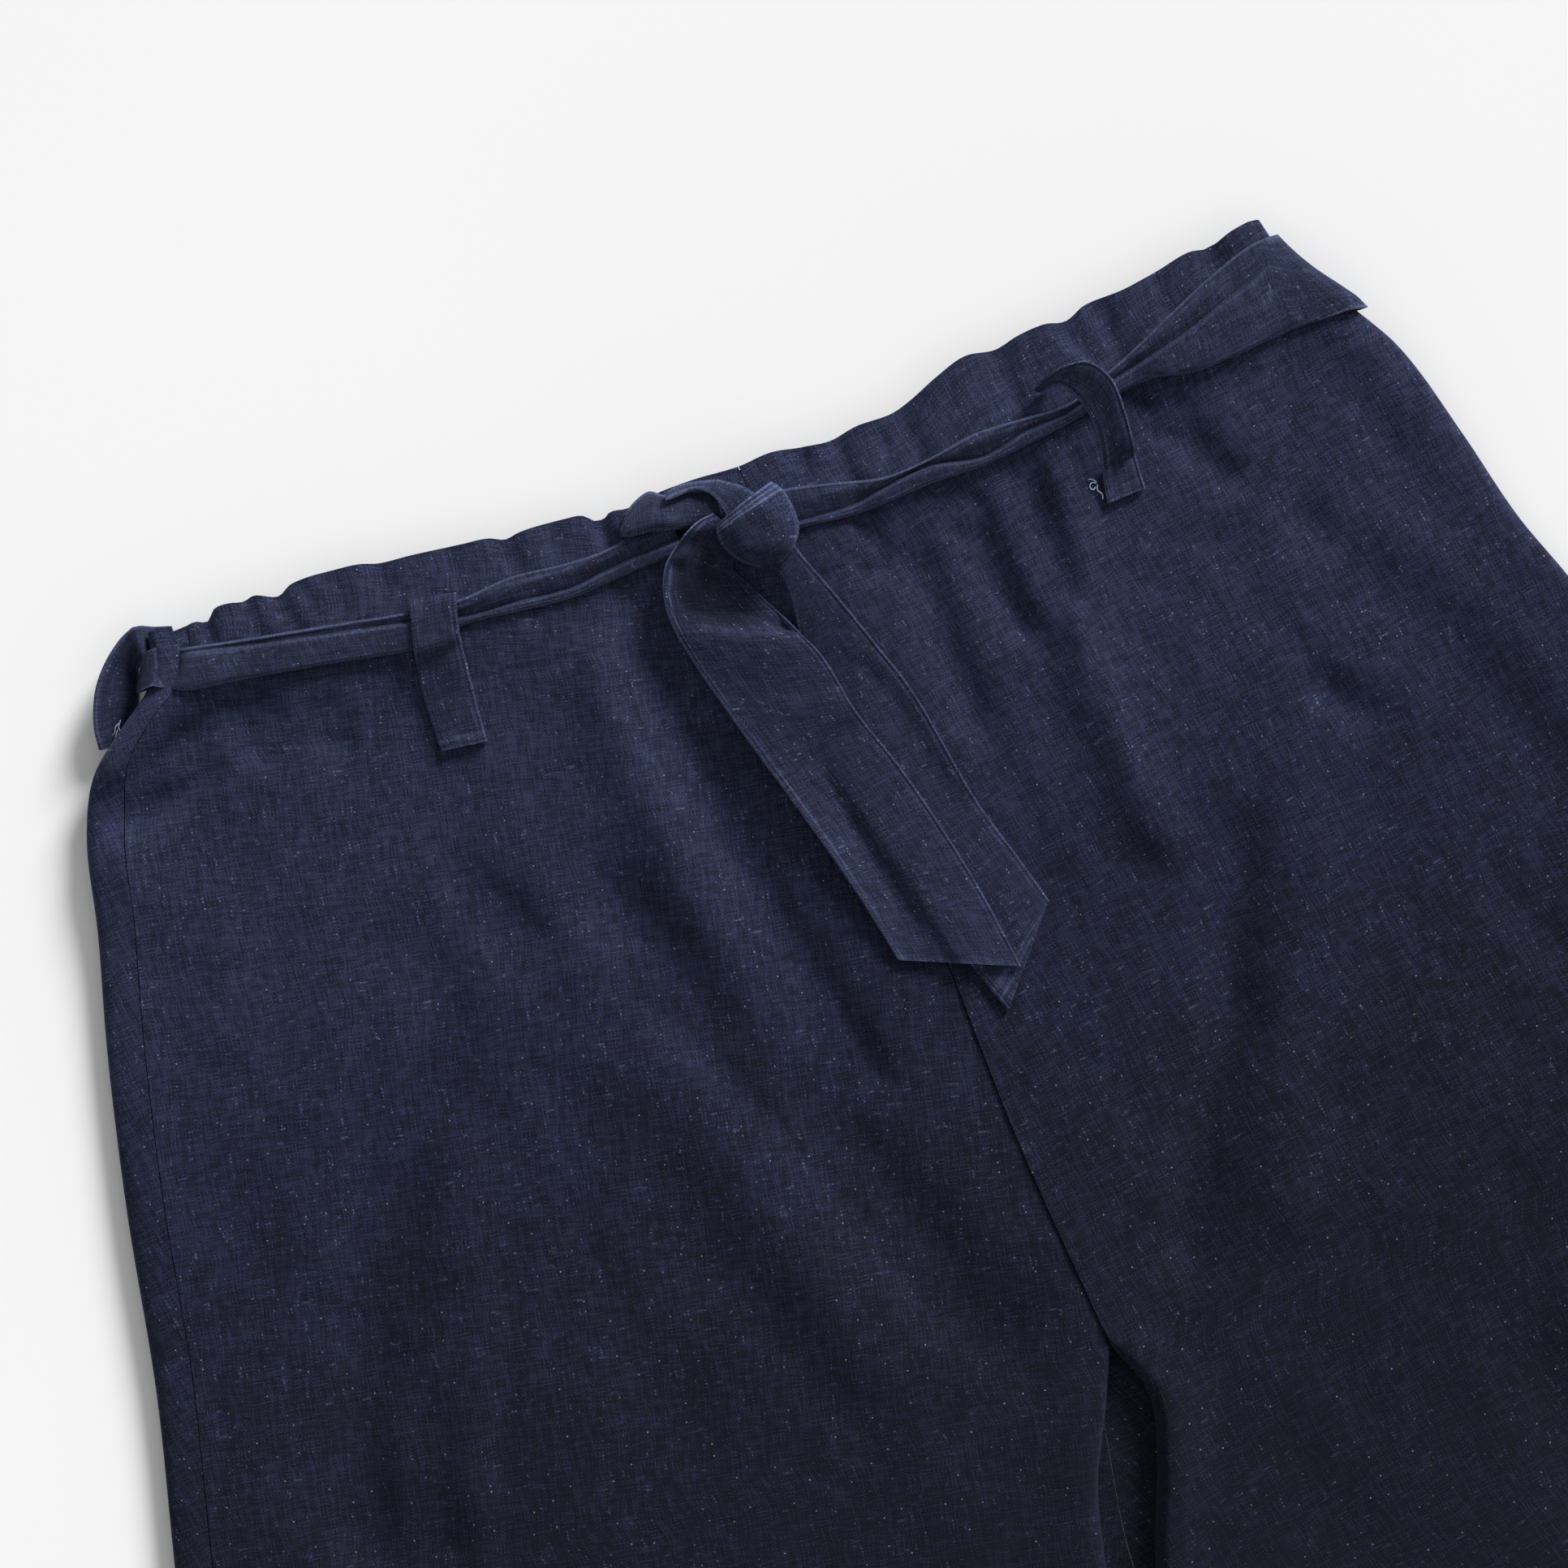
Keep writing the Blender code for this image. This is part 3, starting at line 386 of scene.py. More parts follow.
# It turns round the edge with some slack, and goes on along the underside.
BELT_EDGE_SLACK = {LEFT: 2.4, RIGHT: 4.0}
BELT_EDGE_TILT = {LEFT: 0.0, RIGHT: 2.2}
BELT_EDGE_GAP = 0.3
BELT_TURN_STEPS, BELT_TURN_IN = 12, 8.0
BELT_BACK_ROWS, BELT_BACK_COLUMNS = 150, 16
BELT_LOOP_CLEAR, BELT_SAG_LENGTH = 16.0, 24.0
BELT_BACK_SIDES = {
    # side: top station, bottom station
    LEFT: (8.0, 20.0),
    RIGHT: (7.6, 40.4),
}

# Strips, row by row: left u, left s, right u, right s, least height at the left and at the right,
# wall and sag. A row that stops early has STRIP_REST's values for the last four.
STRIP_REST = (0, 0, 2, 0)
LOOP_FRONT_LEFT = (
    (-115.9, 22.8, -99.7, 26.2, 0, 0, 1.7),
    (-117.6, 30, -101.4, 32, 0, 0, 1.7),
    (-120.2, 40, -103.8, 42, 0, 0, 1.7),
    (-122.6, 52, -105.2, 53, 0, 0, 1.7),
    (-123.4, 64, -106.6, 65.6, 0, 0, 1.7),
    (-123.9, 75.2, -107.6, 77.4, 0, 0, 1.7),
)
LOOP_FRONT_RIGHT = (
    (112.5, 31, 109.5, 29.5, 13, 18, 1.7),
    (116.5, 30.4, 114.5, 27, 17, 22, 1.7),
    (119.8, 32, 121.8, 25.4, 20, 24.5, 1.7),
    (122.4, 37, 130.4, 27.2, 21, 26, 1.7),
    (124.6, 44, 135.8, 35.5, 20, 25, 1.7),
    (124.9, 52, 136.5, 47, 18, 22.5, 1.7),
    (123.6, 60.5, 136, 58.5, 14, 17, 1.7),
    (121.8, 68, 135.4, 67.2, 0, 0, 1.7),
    (120.9, 74.4, 135.1, 73.9, 0, 0, 1.7),
)
TAIL_UNDER = (
    (1, 50, 13.6, 46.5, 15, 17),
    (6.2, 58.7, 16.6, 56.5, 15.5, 17),
    (6.4, 69, 21, 68, 14, 16),
    (5, 80, 25, 79, 12, 14.5),
    (0, 94, 29.4, 92, 9, 12.5),
    (1, 116, 36.4, 114.5, 0, 11),
    (9, 155, 43.1, 152.8, 0, 9),
    (17, 186, 50.2, 178),
    (21.8, 207, 54.7, 194.4),
    (28.5, 226.6, 54.9, 195.6),
)
TAIL_OVER = (
    (-7.9, 31.1, -3, 39, 19, 18),
    (-14.5, 32.2, -3.6, 45, 20, 15.5, 2, 1),
    (-22.4, 36.5, -6, 48, 20, 13.5, 2, 2),
    (-28.6, 41.4, -7.6, 51.4, 19.5, 12.2, 2, 3),
    (-32.4, 48, -4.4, 58, 18.5, 12, 2, 3.2),
    (-34.2, 55, 0.6, 68, 17, 12, 2, 2.6),
    (-34.4, 60, 4.8, 76.5, 16, 13, 2, 1.4),
    (-34, 65.4, 7, 81.5, 15, 16.5, 2, -0.8),
    (-32.8, 72, 9.6, 87, 14, 16.5, 2, -1.4),
    (-31, 80, 11.6, 93.5, 13.5, 15.5, 2, -1.2),
    (-28.2, 91, 13, 101, 13, 14.5, 2, -0.6),
    (-23.4, 109, 15.4, 113, 12.8, 13.5),
    (-13.6, 143, 24, 139.2, 12.2, 0),
    (-6.2, 172, 33, 178.2, 11, 0),
    (-1.1, 197, 38.1, 213.6, 9, 0),
)
KNOT_LOOP = (
    (-40.4, 27.6, -39.4, 25),
    (-37, 29, -34, 18.8, 0, 0, 5),
    (-30.4, 29.8, -26.4, 15.8, 0, 0, 6.6),
    (-24, 31.6, -21.4, 18.8, 0, 0, 6.6),
    (-16, 33.4, -14, 20, 0, 0, 6),
    (-6, 36, -4, 22, 0, 0, 5),
)
KNOT_BAND = (
    (-21.4, 21.6, -20.4, 18.8, 0, 0, 1.6),
    (-16.8, 21.6, -15.7, 17.8, 17, 14, 2.4),
    (-11.2, 21.4, -9.9, 18.6, 19, 16, 2.4),
    (-7, 24, -3, 20.4, 20, 17, 2.4),
    (-4.9, 27.6, 1, 22.8, 20.5, 17.5, 2.4),
    (-3.9, 31.6, 5.4, 26.2, 20.5, 18, 2.4),
    (-3, 37, 10, 32, 20, 18, 2.4),
)
KNOT_WRAP = (
    (-8, 35.4, 14.7, 27.6, 0, 0, 5.4),
    (-9.1, 38.4, 17.6, 32, 0, 0, 7.6),
    (-8.9, 42, 18.8, 38.6, 0, 0, 8.6),
    (-7.2, 46.2, 18.4, 45.4, 0, 0, 8.4),
    (-4, 50.4, 14.6, 51.2, 0, 0, 6.8),
    (1, 54.2, 8.6, 55.2, 0, 0, 3.6),
)
STRIPS = (
    # node, table, width, rounded, wear of its left, right, start and end, what it rests on
    ("loop_front_left", LOOP_FRONT_LEFT, 17.0, False, (0.4, 0.2, 0.0, 0.5), "belt_left"),
    ("loop_front_right", LOOP_FRONT_RIGHT, 17.0, False, (0.7, 0.3, 0.0, 0.5), "belt_right"),
    ("tail_under", TAIL_UNDER, 36.0, False, (0.1, 0.2, 0.0, 0.5), "front_right"),
    ("knot_loop", KNOT_LOOP, 16.0, True, (0.2, 0.3, 0.0, 0.0), "belt_left"),
    ("tail_over", TAIL_OVER, 38.0, False, (1.1, 0.18, 0.0, 0.6), "tail_under"),
    ("knot_band", KNOT_BAND, 10.0, True, (0.9, 0.3, 0.0, 0.0), "knot_loop"),
    ("knot_wrap", KNOT_WRAP, 28.0, True, (0.2, 0.2, 1.1, 0.0), "knot_loop"),
)
STRIP_ROW_STEPS, STRIP_COLUMN = 10, 1.8
# Columns by a strip's two edges, and its edges' roundness and stitched groove.
EDGE_COLUMNS = (0.0, 0.35, 0.7, 1.05, 1.4, 1.8, 2.3, 3.0)
EDGE_LEAST, EDGE_LENGTH = 0.45, 0.9
GROOVE_DEPTH, GROOVE_IN, GROOVE_WIDTH = 0.3, 1.4, 0.4
# How far the ground below a strip is widened and blurred, in millimetres.
STRIP_REACH, STRIP_BLUR, KNOT_BLUR = 4, 1, 3
# Painted shade in a strip's sagging middle: how much darker it is painted, for a millimetre of sag.
HOLLOW_PAINTED_SHADE = 0.12

# The other belt loops.
LOOP_WIDTH, LOOP_COLUMNS = 17.0, 7
LOOP_STATIONS = (1.0, *np.linspace(4.5, 43.0, 16), 47.0, 52.0)
LOOP_SEWN_ABOVE, LOOP_SEWN_BELOW = 3.0, 46.0
SIDE_LOOP_IN = 20.0
SIDE_LOOP_STEPS, SIDE_LOOP_COLUMNS = 8, 13
SIDE_LOOP_WAIST, SIDE_LOOP_BLEND = -210.0, 3.0
LOOP_SIDE_LEFT = (
    # upper u, upper s, upper z, lower u, lower s, lower z
    (-197.5, 1.8, 0, -198.5, 13, 0),
    (-202.5, 0.2, 0, -203.5, 12, 0),
    (-207.6, -1.4, 11.6, -208.6, 11, 10),
    (-213.2, 1.2, 12.4, -212.2, 11.6, 5.5),
    (-220.8, 7.2, 12.8, -213.6, 13.6, 2),
    (-226.6, 13.8, 12.8, -215.4, 18, 1.2),
    (-230.4, 20.6, 12, -217.6, 23, 1.2),
    (-232.8, 27.6, 10.6, -222, 28.4, 1.4),
    (-233.6, 34.4, 8.6, -228.2, 34.2, 2.2),
)

# Loose threads at the feet of two loops.
THREAD_SIDES, THREAD_RADIUS, THREAD_STEPS = 6, 0.22, 6
FRAYS = (
    # name, (u, s), bends of (across, down, up)
    ("loop_fray", (119.6, 66.4), (
        ((0.0, 0.0, 0.4), (-1.6, -0.6, 1.0), (-2.6, 0.6, 1.2), (-1.8, 1.8, 0.9), (-0.6, 1.2, 0.6)),
        ((0.2, -0.4, 0.4), (-1.0, -1.6, 0.9), (-2.2, -2.0, 0.8), (-3.2, -1.2, 0.5)),
        ((0.2, 0.6, 0.4), (-0.4, 2.4, 0.8), (0.6, 4.4, 0.7), (0.2, 6.0, 0.4)),
    )),
    ("side_fray", (-225.4, 27.4), (
        ((0.0, 0.0, 0.6), (-1.4, 0.8, 1.6), (-2.6, 2.6, 1.4), (-4.0, 3.6, 0.8)),
        ((-0.6, 1.2, 0.6), (-1.8, 2.8, 1.6), (-3.2, 4.8, 1.2), (-3.8, 6.6, 0.8)),
        ((0.8, -0.8, 0.6), (-0.4, 1.0, 1.8), (-0.8, 3.2, 1.4), (-2.2, 5.0, 0.9)),
    )),
)

# The panels' painted light falloff, lighter at the waist and darker down the legs as painted shade, and
# how far the threads turn from the garment's axis.
WAIST_PAINTED_LIGHT, LEG_PAINTED_SHADE = 0.12, -0.34
FADE_FROM, FADE_LENGTH = 40.0, 420.0
GRAIN_ANGLE = {LEFT: math.radians(10.5), RIGHT: math.radians(-8.0)}
BACK_GRAIN_SHARE, BACK_CLOTH_SHIFT = -0.6, 400.0

# Colours: the dark ground, the bluer threads and the light slubs.
INDIGO = ((0.0068, 0.0064, 0.0122), (0.034, 0.043, 0.104), (0.120, 0.155, 0.270))
BELT_INDIGO = ((0.0095, 0.0105, 0.0210), (0.046, 0.060, 0.132), (0.180, 0.235, 0.360))
NUB_WHITE = (0.28, 0.35, 0.48)
PALE_THREAD = ((0.16, 0.22, 0.32), (0.42, 0.50, 0.60))
FLOOR_TONES = ((0.93, 0.93, 0.93), (0.95, 0.95, 0.95))
THREAD_PITCH = 0.62

# The stage, in metres but for the view's width, which is in millimetres on the floor.
FLOOR_HALF, FLOOR_DROP = 4.0, 0.0002
CAMERA_PLACE, CAMERA_LIFT = (-0.0270, 0.3845), 0.008
CAMERA_ROLL = math.radians(-20.2)
VIEW_WIDTH, LENS, SENSOR = 541.0, 100.0, 36.0
SUN_TOWARDS, SUN_WIDTH, SUN_STRENGTH = (0.78, 0.62, 0.44), 20.0, 4.5
SKY_STRENGTH = 0.40


def clamp(value, low=0.0, high=1.0):
    return np.clip(value, low, high)


def ease(value):
    """A smooth step from 0 to 1."""
    x = clamp(value)
    return x * x * (3.0 - 2.0 * x)


def bump(distance, width):
    """A smooth hill of height 1 at no distance, which dies away over a width."""
    return np.exp(-((distance / width) ** 2))


def soft_max(a, b):
    """The larger of two heights, rounded where they cross."""
    return 0.5 * (a + b + np.sqrt((a - b) ** 2 + 0.25))


def mix(a, b, share):
    return a + (b - a) * share


def read_table(rows, key, column):
    """The smooth value of a column at each key: the key is column 0, and it grows down the rows."""
    table = np.array(rows, float)
    x, y = table[:, 0], table[:, column]
    steps = np.diff(y) / np.diff(x)
    slopes = np.concatenate((steps[:1], 0.5 * (steps[:-1] + steps[1:]), steps[-1:]))
    key = np.clip(key, x[0], x[-1])
    i = np.clip(np.searchsorted(x, key) - 1, 0, len(x) - 2)
    width = x[i + 1] - x[i]
    t = (key - x[i]) / width
    return (
        (2 * t**3 - 3 * t**2 + 1) * y[i]
        + (t**3 - 2 * t**2 + t) * slopes[i] * width
        + (3 * t**2 - 2 * t**3) * y[i + 1]
        + (t**3 - t**2) * slopes[i + 1] * width
    )


def outer_edge(side, station):
    return read_table(OUTER_EDGES, station, SIDE_COLUMN[side])


def front_inner_edge(side, station):
    seam = read_table(FRONT_SEAM, station, 1)
    leg = read_table(LEG_INNER_EDGES, station, SIDE_COLUMN[side])
    return np.where(np.asarray(station) <= FRONT_CROTCH, seam, leg)


def back_inner_edge(side, station):
    """The back seam runs lower than the front one, and its crotch lies under the front's."""
    station = np.asarray(station, float)
    seam = mix(BACK_SEAM_TOP, BACK_SEAM_LOW, clamp(station / BACK_SEAM_LENGTH))
    at_crotch = ease((station - FRONT_CROTCH) / (BACK_CROTCH - FRONT_CROTCH))
    seam = mix(seam, BACK_SEAM_CROTCH, at_crotch)
    away = ease((station - BACK_CROTCH) / BACK_LEG_LENGTH)
    return mix(seam, front_inner_edge(side, station), away)


def seam_share(station, crotch, length):
    """0 where two panels meet in a centre seam, 1 where the leg has its own inner edge."""
    return ease((station - crotch) / length)


def row_place(side, station, u):
    """s of a point at u in the row at a station: rows dip at the waist and tilt at the hem."""
    middle = 0.5 * (outer_edge(side, station) + front_inner_edge(side, station))
    half = 0.5 * np.abs(outer_edge(side, station) - front_inner_edge(side, station))
    outward = side * (u - middle) / half
    tilt = HEM_TILT * ease((station - HEM_TILT_FROM) / HEM_TILT_LENGTH) * outward
    dip = read_table(WAIST_DIP, u, 1) * (1.0 - ease(station / DIP_FADE))
    return station + dip - tilt


def fold_height(u, s, folds):
    total = np.zeros_like(u)
    for u0, s0, u1, s1, bow, half_width, height in folds:
        run_u, run_s = u1 - u0, s1 - s0
        length = math.hypot(run_u, run_s)
        along = ((u - u0) * run_u + (s - s0) * run_s) / length
        share = clamp(along / length)
        across = ((u - u0) * -run_s + (s - s0) * run_u) / length - 4 * bow * share * (1 - share)
        fade = ease(along / (2 * half_width) + 0.5) * ease((length - along) / (2 * half_width) + 0.5)
        total += height * fade * bump(across, half_width)
    return total


def unevenness(u, s):
    """Slight waves of the laid cloth, in directions and lengths that don't repeat."""
    chance = np.random.default_rng(WAVE_SEED)
    total = np.zeros_like(u)
    for _ in range(WAVES):
        length = chance.uniform(*WAVE_LENGTHS)
        angle = chance.normal(0.15, 0.55)
        phase = chance.uniform(0.0, 2 * math.pi)
        across = (u * math.cos(angle) + s * math.sin(angle)) * 2 * math.pi / length
        total += WAVE_SLOPE * length * np.sin(across + phase + 1.5 * np.sin(s / 61.0 + 2 * phase))
    return total


def gather_share(u, station):
    """How deep the waist's tucks are at a place, from the table of gathers."""
    total = np.zeros_like(u)
    for place, depth, half_width, lean, length in GATHERS:
        leaning = place + lean * station / length
        total += depth * bump(u - leaning, half_width) * (1.0 - ease(station / length))
    return total


def back_gather(u, station):
    uneven = BACK_GATHER_UNEVEN * np.sin(u * BACK_GATHER_TURN)
    waves = np.cos(u * BACK_GATHERS * math.pi / HALF_WAIST + uneven)
    fade = 1.0 - ease((station - BACK_GATHER_FROM) / BACK_GATHER_FADE)
    return 0.5 * BACK_GATHER_DEPTH * (1.0 + waves) * fade


def underside(side, station, u):
    from_edge = side * (outer_edge(side, station) - u)
    lifted = back_gather(u, station) * ease((from_edge - BACK_GATHER_IN) / BACK_GATHER_GROW)
    return np.maximum(0.0, read_table(LEVELS, station, 2)) + lifted


def wall_at(station):
    return mix(CASING_WALL, CLOTH, ease((station - CASING_DEPTH) / 10.0))


def front_height(side, station, u):
    """z of the front's outer face."""
    s = row_place(side, station, u)
    from_outer = side * (outer_edge(side, station) - u)
    from_inner = side * (u - front_inner_edge(side, station))
    height = read_table(LEVELS, station, 1)
    edge_share = ease((from_outer + FOLD_EDGE_OUT) / FOLD_EDGE_FADE)
    height = height + FOLD_DEPTH * fold_height(u, s, FOLDS) * edge_share
    puff = CASING_PUFF * bump(station - CASING_PUFF_STATION, CASING_PUFF_LENGTH)
    height += puff * ease(from_outer / CASING_PUFF_GROW)
    height -= gather_share(u, station) * ease(from_outer / GATHER_GROW)
    height += SIDE_ROLL * bump(from_outer - SIDE_ROLL_IN, SIDE_ROLL_WIDTH)
    height -= STITCH_GROOVE * bump(station - CASING_DEPTH, STITCH_GROOVE_WIDTH)
    leg = seam_share(station, LEG_ROLL_FROM, LEG_ROLL_GROW)
    raised = LEG_ROLL
    if side == RIGHT:
        near_crotch = bump(station - CROTCH_ROLL_STATION, CROTCH_ROLL_LENGTH)
        raised = mix(LEG_ROLL, CROTCH_ROLL, near_crotch)
    height += leg * raised * bump(from_inner - LEG_ROLL_IN, LEG_ROLL_WIDTH)
    ridge = SEAM_RIDGE[side] * bump(from_inner, SEAM_RIDGE_WIDTH)
    height += (1.0 - leg) * ridge * ease(station / SEAM_RIDGE_GROW)
    inside = ease((from_outer - OUTER_PLAIN) / OUTER_GROW) * ease((from_inner - INNER_PLAIN) / INNER_GROW)
    height += inside * (fold_height(u, s, CREASES) + unevenness(u, s))
    least = underside(side, station, u) + 2 * wall_at(station) + LAYER_GAP
    return soft_max(height, least)


def past_round(side, inner):
    """Where a panel's flat part starts, past its rounded inner edge."""
    return inner + side * (INNER_ROUND + 0.5 * SEAM_GAP)


def outer_point(side, station, place):
    """A point of the flat tube's outer face.

    The place goes round the tube: -1 to 0 down over the front's inner edge, 0 to 1 across the
    front, 1 to 2 round the outer edge, 2 to 3 back along the underside, 3 to 4 up the inner edge.
    """
    outer = outer_edge(side, station)
    inner_front = front_inner_edge(side, station)
    inner_back = back_inner_edge(side, station)
    edge_start = outer - side * EDGE_ROUND
    front_start = past_round(side, inner_front)
    back_start = past_round(side, inner_back)
    angle_in = clamp(-place) * math.pi / 2
    angle_out = (1.5 - clamp(place, 1.0, 2.0)) * math.pi
    angle_back = clamp(place - 3.0) * math.pi / 2
    zones = [place <= 0.0, place <= 1.0, place <= 2.0, place <= 3.0]
    u = np.select(
        zones,
        [
            inner_front + side * (INNER_ROUND * (1 - np.sin(angle_in)) + 0.5 * SEAM_GAP),
            mix(front_start, edge_start, place),
            edge_start + side * EDGE_ROUND * np.cos(angle_out),
            mix(edge_start, back_start, place - 2.0),
        ],
        inner_back + side * (INNER_ROUND * (1 - np.sin(angle_back)) + 0.5 * SEAM_GAP),
    )
    height = front_height(side, station, inner_front + side * INNER_ROUND)
    below = underside(side, station, u)
    own_edge = seam_share(station, LEG_RISE_FROM, LEG_RISE_GROW)
    low = mix(below + wall_at(station) + SEAM_GAP, 0.5 * height + 0.5 * SEAM_GAP, own_edge)
    drop = (height - low) * seam_share(station, LEG_DROP_FROM, LEG_DROP_GROW)
    top = front_height(side, station, edge_start)
    bottom = underside(side, station, edge_start)
    rise = (0.5 * height - 0.5 * SEAM_GAP) * own_edge
    z = np.select(
        zones,
        [
            height - drop * (1 - np.cos(angle_in)),
            front_height(side, station, u),
            mix(bottom, top, 0.5 + 0.5 * np.sin(angle_out)),
            below,
        ],
        below + rise * (1 - np.cos(angle_back)),
    )
    s = row_place(side, station, u)
    lower = clamp(place - 1.0) * BACK_EDGE_LOWER * (1.0 - ease(station / BACK_EDGE_LOWER_LENGTH))
    notch = read_table(WAIST_EDGE, u, 1) - read_table(WAIST_DIP, u, 1)
    notch = notch * (1 - ease(station / EDGE_FADE))
    s = s + np.where(place > 1.0, lower + notch * clamp(3.0 - place), notch)
    return np.stack((u, s, z), axis=-1)


def inner_point(side, station, place):
    """The point of the wall's inner face that lies square to the outer face, in the row's plane."""
    before = outer_point(side, station, np.maximum(place - PLACE_STEP, -1.0))
    after = outer_point(side, station, np.minimum(place + PLACE_STEP, 4.0))
    run = after - before
    length = np.hypot(run[..., 0], run[..., 2]) + 1e-9
    wall = wall_at(station)
    shift = np.stack((side * run[..., 2] / length, 0 * length, -side * run[..., 0] / length), axis=-1)
    return outer_point(side, station, place) + shift * np.asarray(wall)[..., None]


def places_between(start, end, across, round_steps):
    """Places from start to end, with steps round each edge and columns across each face."""
    stops = [np.atleast_1d(start)]
    zones = (round_steps, across, round_steps + 1, across, round_steps)
    for low, steps in enumerate(zones, -1):
        first, last = max(start, low), min(end, low + 1)
        if last <= first:
            continue
        count = max(1, round(steps * (last - first)))
        stops.append(first + (last - first) * np.arange(1, count + 1) / count)
    return np.concatenate(stops)


def seam_place(side, station, gap_share):
    """Where the side seam lies: on the front at the left, on the underside at the right."""
    inner_edge = front_inner_edge if side == LEFT else back_inner_edge
    edge_start = outer_edge(side, station) - side * EDGE_ROUND
    across = np.abs(edge_start - past_round(side, inner_edge(side, station)))
    if side == LEFT:
        return 1.0 - (SIDE_SEAM_IN - EDGE_ROUND + gap_share * SEAM_GAP) / across
    return 2.0 + (SIDE_SEAM_IN - EDGE_ROUND - gap_share * SEAM_GAP) / across


def panel_stations(front):
    """Stations down a panel: close at the waist, wider on the legs."""
    step_waist, step_seat, step_leg = (1.8, 2.4, 5.0) if front else (2.5, 4.5, 8.0)
    return np.concatenate((
        np.arange(0.0, 110.0, step_waist),
        np.arange(110.0, 440.0, step_seat),
        np.arange(440.0, 1000.0, step_leg),
        [1000.0],
    ))


def panel(side, front):
    """The outer and inner points of a panel, and each point's place on the cloth."""
    stations = panel_stations(front)
    gap_share = 0.5 if front else -0.5
    seam = float(seam_place(side, PANEL_MIDDLE, gap_share))
    start, end = (-1.0, seam) if front else (seam, 4.0)
    shares = places_between(start, end, FRONT_COLUMNS if front else BACK_COLUMNS, ROUND_STEPS)
    place = np.tile(shares, (len(stations), 1))
    fixed = FIXED_PLACE[front, side]
    stretched = place > fixed if front else place < fixed
    stretch = (seam_place(side, stations, gap_share) - fixed) / (seam - fixed)
    place = np.where(stretched, fixed + (place - fixed) * stretch[:, None], place)
    station = np.tile(stations[:, None], (1, place.shape[1]))
    outer = outer_point(side, station, place)
    inner = inner_point(side, station, place)
    run = np.hypot(np.diff(outer[..., 0], axis=1), np.diff(outer[..., 2], axis=1))
    along = np.concatenate((np.zeros((len(stations), 1)), np.cumsum(run, axis=1)), axis=1)
    u = (0.0 if front else BACK_CLOTH_SHIFT) + side * along + outer[:, :1, 0]
    turn = GRAIN_ANGLE[side] * (1.0 if front else BACK_GRAIN_SHARE)
    across = u * math.cos(turn) + station * math.sin(turn)
    down = station * math.cos(turn) - u * math.sin(turn)
    return outer, inner, np.stack((across, down), axis=-1)


def world(points):
    placed = np.stack((points[..., 0] - ORIGIN_U, ORIGIN_S - points[..., 1], points[..., 2]), axis=-1)
    return placed * METRES


def wall_faces(rows, columns):
    """Four-cornered faces of a closed wall between two grids of points."""
    count = rows * columns
    number = np.arange(count).reshape(rows, columns)

    def quads(a, b, c, d):
        return np.stack((a, b, c, d), axis=-1).reshape(-1, 4)

    faces = [
        quads(number[:-1, :-1], number[1:, :-1], number[1:, 1:], number[:-1, 1:]),
        quads(number[:-1, :-1], number[:-1, 1:], number[1:, 1:], number[1:, :-1]) + count,
    ]
    for line, turned in ((number[0], False), (number[-1], True), (number[:, 0], True),
                         (number[:, -1], False)):
        a, b = line[:-1], line[1:]
        border = quads(a, b, b + count, a + count)
        faces.append(border[:, ::-1] if turned else border)
    return np.concatenate(faces)


def signed_volume(points, faces):
    a, b, c, d = (points[faces[:, k]] for k in range(4))
    return (np.einsum("ij,ij->", a, np.cross(b, c)) + np.einsum("ij,ij->", a, np.cross(c, d))) / 6.0


def linked(name, data):
    """A new object in the scene."""
    item = bpy.data.objects.new(name, data)
    bpy.context.scene.collection.objects.link(item)
    return item


def finish_mesh(name, points, faces, cloth, wear_and_shade, material):
    """A mesh object in metres with its cloth coordinates, and its wear with painted shade and painted
    light in the same attribute.
    """
    placed = world(points)
    if faces.shape[1] == 4 and signed_volume(placed, faces) < 0:
        faces = faces[:, ::-1]
    mesh = bpy.data.meshes.new(name)
    mesh.from_pydata(placed.tolist(), [], faces.tolist())
    corners = np.empty(len(mesh.loops), dtype=np.int32)
    mesh.loops.foreach_get("vertex_index", corners)
    layer = mesh.uv_layers.new(name="cloth")
    layer.data.foreach_set("uv", cloth[corners].ravel())
    worn_and_shaded = mesh.attributes.new("wear_and_shade", "FLOAT", "POINT")
    worn_and_shaded.data.foreach_set("value", wear_and_shade)
    mesh.materials.append(material)
    mesh.shade_smooth()
    mesh.set_sharp_from_angle(angle=math.radians(50))
    piece = linked(name, mesh)
    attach(piece, "root")
    return piece


def wall_piece(name, outer, inner, cloth, wear_and_shade, material):
    rows, columns = outer.shape[:2]
    faces = wall_faces(rows, columns)
    points = np.concatenate((outer.reshape(-1, 3), inner.reshape(-1, 3)))
    both = np.tile(cloth.reshape(-1, 2), (2, 1))
    worn_and_shaded = np.tile(wear_and_shade.reshape(-1), 2)
    return finish_mesh(name, points, faces, both, worn_and_shaded, material)


